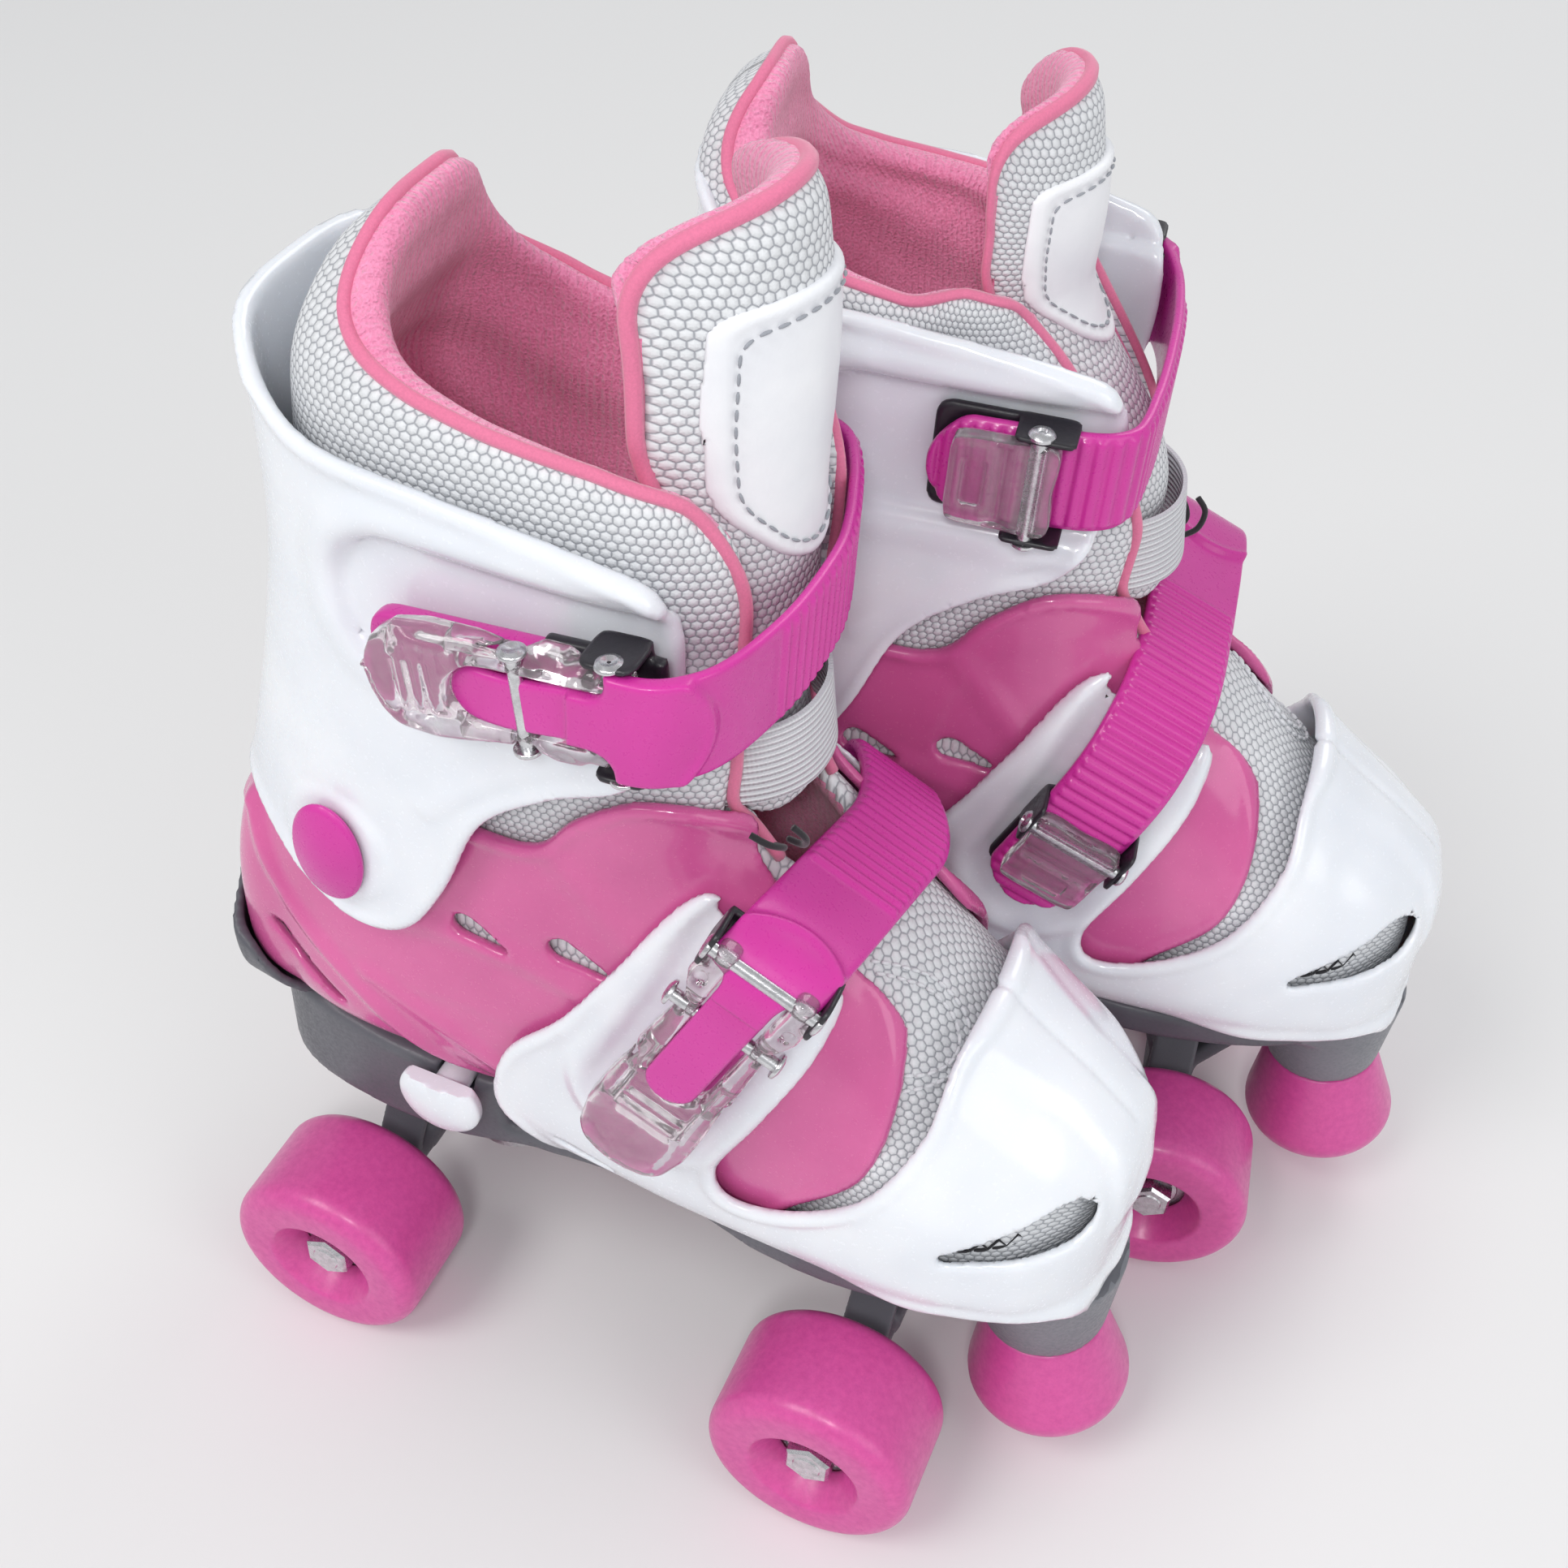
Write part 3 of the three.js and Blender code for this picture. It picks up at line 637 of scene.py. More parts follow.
def terry(name, colour, dark):
    """Brushed loop terry with soft ribs, on (along, up) coordinates in mm."""
    s = Shader(name)
    x, _, _ = s.split(s.local("knit"))
    ribs = s.math("SINE", s.math("MULTIPLY", x, 2 * math.pi / 2.4))
    loops = s.node("ShaderNodeTexVoronoi", {"Vector": s.local(), "Scale": 1.5}).outputs["Distance"]
    fuzz = s.noise(s.local(), 1.6, 5, 0.7)
    patch = s.noise(s.local(), 0.06, 3)
    tone = s.mix(s.ramp(patch, 0.3, 0.7), colour, dark)
    speck = s.ramp(s.math("ADD", fuzz, s.math("MULTIPLY", loops, 0.35)), 0.45, 0.95)
    s.set(Base_Color=s.mix(speck, tone, tuple(min(1.0, c * 1.25 + 0.02) for c in colour[:3]) + (1.0,)))
    s.set(Roughness=0.95, Sheen_Weight=0.6, Sheen_Roughness=0.4, Specular_IOR_Level=0.15)
    first = s.bump(ribs, 0.35, 0.0007)
    second = s.bump(loops, 0.5, 0.0005, first)
    s.set(Normal=s.bump(fuzz, 0.6, 0.0006, second))
    return s.material


TERRY = terry("pink_terry", rgb(241, 146, 182), rgb(228, 124, 166))


def leatherette():
    """Coated white cloth with a fine pebble grain."""
    s = Shader("white_leatherette")
    p = s.local()
    cells = s.node("ShaderNodeTexVoronoi", {"Vector": p, "Scale": 1.4}).outputs["Distance"]
    cloud = s.noise(p, 0.05, 3)
    s.set(Base_Color=s.mix(s.ramp(cloud, 0.3, 0.7), rgb(240, 241, 244), rgb(228, 230, 235)))
    s.set(Roughness=s.ramp(cloud, 0.3, 0.7, 0.38, 0.5), Coat_Weight=0.08, Coat_Roughness=0.3)
    s.set(Normal=s.bump(cells, 0.12, 0.0002, s.bump(s.noise(p, 0.12, 2), 0.25, 0.0008)))
    return s.material


LEATHER = leatherette()


def thread(name, colour):
    s = Shader(name)
    p = s.local()
    s.set(Base_Color=s.mix(s.noise(p, 2.0, 2), colour, dimmed(colour, 0.75)))
    s.set(Roughness=0.75, Sheen_Weight=0.3, Normal=s.bump(s.noise(p, 4.0, 2), 0.4, 0.0002))
    return s.material


WHITE_THREAD = thread("white_thread", rgb(236, 238, 242))
# grey stands in for the shade on the patch's raised white stitching: painted shade
SHADED_GREY_THREAD = thread("grey_thread_painted_shade", rgb(158, 162, 170))
BLACK_THREAD = thread("black_thread", rgb(30, 28, 34))
PINK_THREAD = thread("pink_piping", rgb(234, 124, 162))


def elastic():
    """Ribbed white elastic with painted shade in the grooves between its ribs, on (along, up) coordinates in
    mm.
    """
    s = Shader("white_elastic")
    x, y, _ = s.split(s.local("knit"))
    ribs = s.math("SINE", s.math("MULTIPLY", y, 2 * math.pi / 1.5))
    warp = s.math("SINE", s.math("MULTIPLY", x, 2 * math.pi / 0.8))
    # the darker colour is painted shade, laid in the grooves where the ribs' bump is lowest
    s.set(Base_Color=s.mix(s.ramp(ribs, -1, 0.2), rgb(206, 208, 213), rgb(236, 238, 241)))
    s.set(Roughness=0.8, Sheen_Weight=0.2)
    s.set(Normal=s.bump(warp, 0.3, 0.0002, s.bump(ribs, 0.8, 0.0005)))
    return s.material


ELASTIC = elastic()

# ---------------------------------------------------------------- moulded shells
HEEL_OUTLINE = [
    (-118, 92), (-118, 130), (-112, 150), (-97, 160), (-84, 171), (-72, 186), (-50, 191), (-26, 187),
    (-13, 189), (-4, 200), (10, 209), (26, 206), (40, 190), (58, 172), (70, 150), (68, 124), (52, 104),
    (40, 84), (20, 76), (-30, 84), (-60, 90),
]
TOE_OUTLINE = [
    (-24, 104), (-16, 90), (0, 76), (40, 70), (110, 70), (138, 84), (138, 140), (110, 160), (82, 158),
    (78, 140), (68, 120), (52, 107), (38, 104), (35, 114), (44, 134), (54, 158), (54, 176), (44, 190),
    (31, 192), (18, 182), (6, 162), (-6, 142), (-20, 124),
]
CUFF_OUTLINE = [
    (-120, 176), (-120, 286), (-94, 292), (-78, 289), (-60, 277), (-30, 275), (4, 271), (17, 264),
    (19, 240), (12, 220), (-6, 210), (-22, 196), (-32, 172), (-42, 156), (-55, 152), (-70, 158), (-88, 171),
]
ANKLE = (-59.0, 174.0)


def box_field(grid, low, high):
    return inside_all(*(between(v, a, b) for v, a, b in zip(grid.axes, low, high)))


def circle_y(grid, x, z, radius):
    return np.sqrt((grid.x - x) ** 2 + (grid.z - z) ** 2) - radius


def leaf_y(grid, a, b, fat, thin):
    """A leaf-shaped cut between two (x, z) points, from a fat end to a thin one."""
    (ax, az), (bx, bz) = a, b
    size = (bx - ax) ** 2 + (bz - az) ** 2
    t = np.clip(((grid.x - ax) * (bx - ax) + (grid.z - az) * (bz - az)) / size, 0, 1)
    away = np.sqrt((grid.x - ax - t * (bx - ax)) ** 2 + (grid.z - az - t * (bz - az)) ** 2)
    return away - (fat + (thin - fat) * t)


HEEL_VENTS = [  # ends of a vent, and its radius at each end
    ((-31.0, 157.0), (-21.0, 153.6), 2.9, 1.1), ((-7.5, 159.0), (2.5, 155.4), 3.2, 1.1),
    ((-84, 129), (-67, 114), 2.0, 1.6),
]


HEEL_RIDGES = [  # height, width and course of each raised line
    (1.7, 4.2, [(-95, 166), (-86, 150), (-74, 138), (-62, 126), (-50, 113), (-36, 100), (-20, 90)]),
    (1.0, 5.0, [(-57, 130), (-38, 119), (-18, 108), (2, 99)]),
    (1.0, 6.0, [(-50, 153), (-30, 154), (-8, 150), (14, 140), (30, 128)]),
    (0.6, 6.0, [(-8, 186), (4, 172), (16, 160), (30, 150)]),
]
RIVET_HOLE = 4.6


def heel_shell():
    grid = Grid((-113, -42, 78), (74, 42, 213), FINE)
    d = boot_field(grid)
    ridge = sum(high * hill(side_line(grid, course), wide) for high, wide, course in HEEL_RIDGES)
    edge = side_region(grid, HEEL_OUTLINE)
    lip = 0.7 * hill(edge + 2.0, 2.6)
    wall = smax(d - (3.2 + ridge + lip), 0.5 - d, 1.0)
    wall = smax(wall, edge, 1.6)
    wall = cut(wall, box_field(grid, (-60, -19, 141), (110, 19, 270)), 1.6)
    wall = cut(wall, box_field(grid, (-130, -30, 163), (-95, 30, 220)), 1.6)
    for vent in HEEL_VENTS:
        wall = cut(wall, leaf_y(grid, *vent), 1.0)
    return surface(cut(wall, circle_y(grid, *ANKLE, RIVET_HOLE), 0.8), grid)


TOE_VENT = ((110.5, 118.0), (89, 108.5), 5.8, 1.6)


def toe_shell():
    grid = Grid((-30, -47, 74), (126, 47, 196), FINE)
    d = foot_field(grid, TOE, ends=(-110, 116.5))
    edge = side_region(grid, TOE_OUTLINE)
    x, _, z, ay = grid.axes
    # oval seat for the buckle, with a soft raised rim
    oval = line_distance(x, z, [(17, 128), (30, 158), (37, 176)])
    seat = -0.5 * (1 - step01(oval, 11.0, 16.0)) + 1.5 * hill(oval - 17.5, 5.0)
    seat = seat * step01(ay, 22, 30)
    # toe cap: a raised middle facet between two soft ridges, and a rolled lower lip
    half = np.interp(x, [76, 90, 104, 116, 122], [20, 15, 11, 12, 16])
    facet = 1.3 * (1 - step01(ay, half - 2.5, half + 3.5)) * step01(x, 72, 82) * step01(z, 104, 112)
    ledge = 1.7 * step01(x, 60, 84) * (1 - step01(z, 84.5, 89.5))
    lip = 0.8 * hill(edge + 2.2, 3.0)
    wall = smax(d - (6.3 + seat + facet + ledge + lip), 3.9 - d, 1.0)
    wall = smax(wall, edge, 1.8)
    open_half = 23 + 6 * step01(z, 150, 185)
    throat = ay - open_half * np.sqrt(np.clip(1 - (np.maximum(x - 60, 0) / 20) ** 2, 0, 1))
    wall = cut(wall, inside_all(throat, 130 - z), 1.8)
    wall = np.maximum(wall, 76.5 - z)
    wall = cut(wall, inside_all(leaf_y(grid, *TOE_VENT), 10 - ay), 1.4)
    slot = line_distance(x, z, [(-6, 96), (6, 92)]) - 1.2
    return surface(cut(wall, inside_all(slot, 12 - ay), 0.8), grid)


CUFF_WAVES = [(0.7, [(-34, 196), (-14, 214), (6, 224), (18, 226)]),
              (0.6, [(-96, 256), (-80, 276), (-58, 288)])]


def cuff_shell():
    grid = Grid((-110, -46, 150), (24, 46, 300), FINE)
    d = leg_field(grid, CUFF)
    edge = side_region(grid, CUFF_OUTLINE)
    x, _, z, ay = grid.axes
    # a long seat for the buckle, open to the front, under a bulging brow
    seat_line = line_distance(x, z, [(-36, 246), (24, 246)])
    brow = (0.8 + 0.9 * step01(z, 244, 262)) * hill(seat_line - 20.5, 6.5)
    seat = (brow - 2.4 * (1 - step01(seat_line, 14.5, 18.0))) * step01(ay, 26, 33)
    boss = 0.9 * (1 - step01(circle_y(grid, *ANKLE, 14.5), -1.5, 1.5)) * step01(ay, 30, 36)
    waves = sum(high * hill(side_line(grid, course), 5.0) for high, course in CUFF_WAVES)
    rim = 0.9 * hill(edge + 1.8, 3.0)
    wall = smax(d - (seat + boss + waves + rim - 0.5), -(d + 3.2 - np.minimum(seat, 0)), 1.0)
    wall = smax(wall, edge, 1.8)
    wall = cut(wall, foot_field(grid) - 4.6, 1.0)
    for low in (184, 208, 232):
        bow = 0.02 * ay ** 1.5
        wall = cut(wall, inside_all(ay - 15, np.abs(z - low - 4.5 + bow) - 4.2, x + 80), 1.8)
    return surface(cut(wall, circle_y(grid, *ANKLE, RIVET_HOLE), 0.8), grid)


def turned(profile, facets=64):
    """A solid of revolution about Z from (radius, height) points, with faces turned outwards."""
    points, faces, rings = [], [], []
    for r, z in profile:
        if r < 1e-6:
            rings.append([len(points)])
            points.append((0, 0, z))
        else:
            rings.append(list(range(len(points), len(points) + facets)))
            points += [(r * math.cos(2 * math.pi * i / facets), r * math.sin(2 * math.pi * i / facets), z)
                       for i in range(facets)]
    for low, high in zip(rings, rings[1:]):
        for i in range(facets):
            j = (i + 1) % facets
            if len(low) == 1:
                faces.append((low[0], high[j], high[i]))
            elif len(high) == 1:
                faces.append((low[i], low[j], high[0]))
            else:
                faces.append((low[i], low[j], high[j], high[i]))
    return np.array(points, dtype=float), faces


def ring_closed(profile, facets=64):
    """A ring with a hole, from a profile whose ends are joined."""
    points, faces = turned(profile + profile[:1], facets)
    last = len(points) - facets
    faces = [tuple(i - last if i >= last else i for i in f) for f in faces]
    return points[:last], faces


def fillet(points, radius, per=4, closed=False):
    """Rounds the corners of a polyline with arcs of the given radius."""
    p = [np.array(q, dtype=float) for q in points]
    out = []
    n = len(p)
    for i in range(n):
        if not closed and i in (0, n - 1):
            out.append(p[i])
            continue
        a, b, c = p[i - 1], p[i], p[(i + 1) % n]
        u, v = (a - b), (c - b)
        lu, lv = np.linalg.norm(u), np.linalg.norm(v)
        r = min(radius, 0.45 * lu, 0.45 * lv)
        start, end = b + u / lu * r, b + v / lv * r
        for t in np.linspace(0, 1, per + 1):
            out.append((1 - t) ** 2 * start + 2 * t * (1 - t) * b + t * t * end)
    return [tuple(q) for q in out]


def laid(points, axis, at):
    """Turns a piece drawn about Z so that its top looks along an axis, and moves it to a point."""
    z = np.array(axis, dtype=float)
    z /= np.linalg.norm(z)
    x = np.cross((0, 1, 0) if abs(z[1]) < 0.9 else (1, 0, 0), z)
    x /= np.linalg.norm(x)
    y = np.cross(z, x)
    return np.array(points) @ np.array([x, y, z]) + np.array(at, dtype=float)


def merge(*pieces):
    """Joins (points, faces) pairs into one."""
    points, faces, count = [], [], 0
    for p, f in pieces:
        points.append(np.array(p, dtype=float))
        faces += [tuple(int(i) + count for i in face) for face in f]
        count += len(p)
    return np.concatenate(points), faces


def tube(path, radius, sides=8):
    """A round rope through a line of points."""
    p = np.array(path, dtype=float)
    n = len(p)
    heading = np.gradient(p, axis=0)
    heading /= np.maximum(np.linalg.norm(heading, axis=1), 1e-9)[:, None]
    up = np.array([0.0, 0.0, 1.0]) if abs(heading[0][2]) < 0.9 else np.array([1.0, 0.0, 0.0])
    points = []
    for i in range(n):
        across = np.cross(heading[i], up)
        across /= max(np.linalg.norm(across), 1e-9)
        up = np.cross(across, heading[i])
        r = radius[i] if hasattr(radius, "__len__") else radius
        for k in range(sides):
            a = 2 * math.pi * k / sides
            points.append(p[i] + r * (math.cos(a) * across + math.sin(a) * up))
    return np.array(points), strip_faces(n, sides)


def strip_faces(rings, sides):
    """Faces between rings of points that follow one another, with a cap at each end."""
    faces = []
    for i in range(rings - 1):
        for k in range(sides):
            a, b = i * sides + k, i * sides + (k + 1) % sides
            faces.append((a, b, b + sides, a + sides))
    faces.append(tuple(reversed(range(sides))))
    faces.append(tuple(range((rings - 1) * sides, rings * sides)))
    return faces


def stitches(path, length, gap, radius):
    """Separate stitches of thread along a line of points."""
    p = np.array(path, dtype=float)
    step = np.linalg.norm(np.diff(p, axis=0), axis=1)
    along = np.concatenate([[0], np.cumsum(step)])
    pieces = []
    s = gap / 2
    while s + length < along[-1]:
        t = np.linspace(s, s + length, 5)
        q = np.stack([np.interp(t, along, p[:, k]) for k in range(3)], axis=1)
        thick = radius * np.array([0.55, 0.95, 1.0, 0.95, 0.55])
        pieces.append(tube(q, thick, 6))
        s += length + gap
    return merge(*pieces)


# ---------------------------------------------------------------- running gear
def wheel_parts():
    """A urethane wheel with a conical recess at each side, about its own Z."""
    side = [(11.3, 7.2), (9.8, 7.3), (9.6, 7.7), (9.9, 8.4), (14.2, 15.2), (14.8, 15.8), (15.6, 16.0)]
    side += [(27 - 5.2 * (1 - math.sin(a)), 16 - 5.2 * (1 - math.cos(a))) for a in
             np.linspace(0, math.pi / 2, 9)]
    lower = [(r, -y) for r, y in side]
    return ring_closed(lower + [(27.0, -6), (27.0, 0), (27.0, 6)] + side[::-1], 96)


def hexagon(across, low, high):
    """A hexagonal nut about Z with chamfered corners."""
    rad = across / 2 / math.cos(math.pi / 6)
    return turned([(0, low), (rad * 0.5, low), (rad * 0.9, low), (rad, low + 0.6), (rad, high - 0.8),
                   (rad * 0.88, high), (rad * 0.62, high), (rad * 0.5, high - 0.2), (0, high - 0.2)], 6)


def flipped(piece):
    """The same piece upside down."""
    return np.array(piece[0]) * (1, 1, -1), [f[::-1] for f in piece[1]]


RACE = [(4.05, -1.9), (5.9, -1.9), (6.1, -1.3), (9.4, -1.3), (9.6, -1.95), (10.9, -1.95), (10.98, -1.7),
        (10.98, 1.7), (10.9, 1.95), (9.6, 1.95), (9.4, 1.3), (6.1, 1.3), (5.9, 1.9), (4.05, 1.9)]
WASHER = [(4.1, 0), (7.4, 0), (7.6, 0.2), (7.6, 0.6), (7.4, 0.8), (4.1, 0.8)]


def raised(profile, by):
    return [(r, v + by) for r, v in profile]


def axle_parts():
    """Rod, washers and nuts of one axle, along its own Z; and the shields of its bearings."""
    middle = TRACK / 2
    steel = [turned([(0, -middle - 13.6), (3.4, -middle - 13.6), (4, -middle - 13), (4, middle + 13),
                     (3.4, middle + 13.6), (0, middle + 13.6)], 32)]
    shields = []
    for turn in (flipped, lambda piece: piece):
        shields += [turn(ring_closed(raised(RACE, middle + inner), 48)) for inner in (-5.0, 5.0)]
        steel.append(turn(hexagon(11.6, middle + 7.7, middle + 13.3)))
        steel.append(turn(ring_closed(raised(WASHER, middle + 6.95), 40)))
    return merge(*steel), merge(*shields)


def truck_parts(sign):
    """A hanger along +X for the front, -X for the rear, from a field."""
    grid = Grid((27, -29, 17), (93, 29, 66), 0.85)
    x, y, z, ay = grid.axes
    axle = circle_y(grid, HALF_BASE, AXLE_Z, 0)
    sleeve = inside_all(axle - (6.6 + 0.9 * (ay > 22)), ay - 25.8)
    ring = inside_all(np.abs(np.sqrt((x - KINGPIN_X) ** 2 + y ** 2) - 10.2) - 2.7, np.abs(z - 54) - 2.3)
    web_line = [(57, 56), (87.5, 56.6), (87, 50), (77, 34), (75, 22.5), (64, 22.5), (62.5, 36), (57, 51.5)]
    web = np.maximum(side_region(grid, web_line, smooth=False), ay - 10)
    pocket = line_distance(x, z, [(70, 38), (76, 49)]) - 4.0
    web = cut(web, inside_all(pocket, 2.2 - ay), 1.2)
    bridge = box_field(grid, (50, -7.5, 51.8), (62, 7.5, 56.2))
    fins = inside_all(np.abs(ay - 9 - (47 - z) * 0.62) - 1.5, np.abs(x - 69) - 6.0, between(z, 30, 47)) - 0.25
    stub = inside_all(np.sqrt((x - PIVOT_X) ** 2 + y ** 2) - 3.9, np.abs(z - 59) - 3.8)
    d = smin(smin(sleeve, web, 2.5), smin(ring, bridge, 1.5), 1.5)
    d = smin(smin(d, fins, 1.5), stub, 0.8)
    points, faces = surface(cut(d, axle - 4.3, 0.6), grid, 3)
    return (points, faces) if sign > 0 else (points * (-1, 1, 1), faces[:, ::-1])


def cushion_parts():
    """Rubber between two cup washers, about the kingpin."""
    bulge = fillet([(4.4, 39.2), (10.6, 39.2), (11.4, 43), (11.2, 46), (10.4, 48.8), (4.4, 48.8)], 1.2)
    cup = [(4.4, 0), (9.5, 0), (12.2, 0.9), (12.4, 3.0), (11.8, 3.0), (11.5, 1.3), (9.3, 0.8), (4.4, 0.8)]
    low, high = ring_closed(raised(cup, 38.1)), flipped(ring_closed(raised(cup, -49.9)))
    return ring_closed(bulge), merge(low, high)


def kingpin_parts():
    """The bolt that holds a truck's cushion, with its head below."""
    head = flipped(hexagon(13.6, -37.7, -33.1))
    shank = turned([(0, 34), (3.4, 34), (3.9, 34.5), (3.9, 65), (3.4, 65.6), (0, 65.6)], 32)
    return merge(head, shank)


# ---------------------------------------------------------------- chassis and toe stop
STOP_LEAN, STOP_AT = math.radians(11), np.array([116.0, 0, 15.0])
BUTTON_AT = (-41, 0, 90)


def on_stop(points):
    """Points of the toe stop's own frame, leaned and put in place."""
    c, s = math.cos(STOP_LEAN), math.sin(STOP_LEAN)
    x, y, z = np.array(points, dtype=float).T
    return np.stack([c * x - s * z, y, s * x + c * z], axis=1) + STOP_AT


def from_stop(x, z):
    """Forwards and up in the toe stop's own leaning frame."""
    c, s = math.cos(STOP_LEAN), math.sin(STOP_LEAN)
    return c * (x - STOP_AT[0]) + s * (z - STOP_AT[2]), -s * (x - STOP_AT[0]) + c * (z - STOP_AT[2])


def pylon_radius(rise):
    return 15.5 + (rise - 31) * 0.23


def chassis():
    """The plate, seen from above and from the side, with its truck seats, ribs, toe pylon and heel cup."""
    grid = Grid((-118, -37, 40), (126, 37, 135), 1.25)
    x, y, z, ay = grid.axes
    plan = spline([(-104, 0), (-92, -24), (-60, -31.5), (-20, -29), (10, -27), (60, -31), (100, -22),
                   (118, 0), (100, 22), (60, 31), (10, 27), (-20, 29), (-60, 31.5), (-92, 24)])
    flat = line_distance(x, y, plan, closed=True)
    side = side_region(grid, [(-112, 88), (-100, 66), (-40, 66), (-20, 70), (20, 70), (40, 66), (126, 66),
                              (126, 76), (-27, 76), (-30, 91.4), (-78, 96.4), (-112, 96.4)], smooth=False)
    d = smax(flat, side, 2.5)
    pockets = inside_all(flat + 4.0, between(z, 60, 73.2))
    ribs = np.minimum(ay - 1.2, np.abs((x + 7) % 19 - 9.5) - 1.2)
    d = cut(d, cut(pockets, ribs, 0.8), 1.0)
    d = smin(d, inside_all(np.abs(np.abs(x) - 64) - 30, ay - 17, between(z, 58.7, 71)), 2.0)
    ahead, rise = from_stop(x, z)
    column = np.sqrt(ahead ** 2 + y ** 2) - pylon_radius(rise)
    d = smin(d, smax(column, between(rise, 31.3, 60), 1.2), 3.0)
    heel = foot_field(grid)
    cup_side = [(-125, 80), (-72, 80), (-80, 98), (-92, 117), (-104, 127), (-125, 129)]
    cup = inside_all(heel - 6.3, 4.1 - heel, side_region(grid, cup_side, smooth=False))
    d = smin(d, cup, 1.5)
    for end in (-1, 1):
        for at, radius, top in ((KINGPIN_X, 4.5, 67.5), (PIVOT_X, 5.8, 65)):
            d = cut(d, inside_all(np.sqrt((x - at * end) ** 2 + y ** 2) - radius, z - top), 0.8)
    d = cut(d, inside_all(circle_y(grid, BUTTON_AT[0], BUTTON_AT[2], 5.0), y + 18), 0.6)
    return surface(np.maximum(d, np.where(x > 60, z - 76, -99)), grid)


def stop_parts():
    face, hollow = [(0, 0.4), (6, 0.4), (7, 0)], [(4.6, 31), (4.6, 17), (0, 17)]
    side = fillet([(8, 0), (18.5, 0.2), (21.5, 6), (15.2, 30.6), (13, 31)], 3.5)
    points, faces = turned(face + side + hollow, 72)
    return on_stop(points), faces


def stop_bolt():
    points, faces = turned([(0, 18), (3.6, 18), (3.9, 18.4), (3.9, 44), (0, 44.6)], 24)
    return on_stop(points), faces


# ---------------------------------------------------------------- buckles, rivets and button
def button_parts():
    """A disc whose upper part tucks in behind the heel shell, on a stem along Y."""
    disc = fillet([(4.4, 35.8), (11.0, 35.8), (11.2, 38.4), (9.4, 39.6)], 0.8)
    points, faces = turned([(0, 22.3), (4.3, 22.3), (4.3, 35.8)] + disc + [(6.5, 40.2), (3, 40.5), (0, 40.6)])
    points = laid(points, (0, -1, 0), (0, 0, 0))
    points[:, 2] = np.where(points[:, 1] < -35, np.minimum(points[:, 2], 6.5), points[:, 2])
    return points + BUTTON_AT, faces


def rivet_parts(sign):
    """An oval domed head on a round pin, on the +Y or -Y side."""
    rim = fillet([(13.7, 43.3), (14.0, 44.0), (13.0, 44.9), (10.5, 45.6)], 0.5)
    head = turned([(0, 43.3), (13.6, 43.3)] + rim + [(7.5, 46.3), (4, 46.8), (0, 47)], 72)
    pin = turned([(0, 36), (3.9, 36), (3.9, 44.4), (0, 44.4)], 32)
    points, faces = merge(pin, (head[0] * (1, 0.62, 1), head[1]))
    return laid(points, (0, sign, 0), (ANKLE[0], 0, ANKLE[1])), faces


class Flat:
    """The frame of a lever or catch: it reaches along -x from its pin, and +z looks out."""

    def __init__(self, at, toward, out):
        back = -np.array(toward, dtype=float)
        back /= np.linalg.norm(back)
        normal = np.array((0, out, 0), dtype=float)
        normal -= normal.dot(back) * back
        normal /= np.linalg.norm(normal)
        self.turn = np.array([back, np.cross(normal, back), normal])
        self.at = np.array(at, dtype=float)

    def lay(self, piece, shift=0.0):
        """Shift slides the piece along its pin."""
        points, faces = piece
        return (np.array(points) + (0, shift, 0)) @ self.turn + self.at, faces


RAKE = math.radians(66)  # slope of the instep strap's plane
DOWN = (-math.cos(RAKE), 0, -math.sin(RAKE))
FLATS = {
    "ankle_lever": Flat((14, -47.6, 247), (-1, 0.0, -0.12), -1),
    "instep_lever": Flat((38, -48.2, 175), (DOWN[0], -0.06, DOWN[2]), -1),
    "ankle_catch": Flat((2, 46, 247), (-1, 0, 0), 1),
    "instep_catch": Flat((27, 48.2, 150), DOWN, 1),
}
SLOT_HALF = 6.7
ARM_SHIFT = 18.0  # how far the fixed arms carry a lever's hinge plates beyond its own pin


def pin_rod(half, at):
    """A steel rod across a lever, with a turned rivet head at each end."""
    rod = turned([(0, -half), (1.2, -half), (1.55, 0.3 - half),
                  (1.55, half - 0.3), (1.2, half), (0, half)], 20)
    cap = turned(fillet([(0.6, 0), (2.9, 0), (2.9, 0.9), (1.7, 1.4)], 0.4) + [(0.8, 1.1), (0, 1.0)], 28)
    heads = [(laid(cap[0], (0, s, 0), (at[0], s * (half - 0.3), at[2])), cap[1]) for s in (-1, 1)]
    return [(laid(rod[0], (0, 1, 0), at), rod[1])] + heads


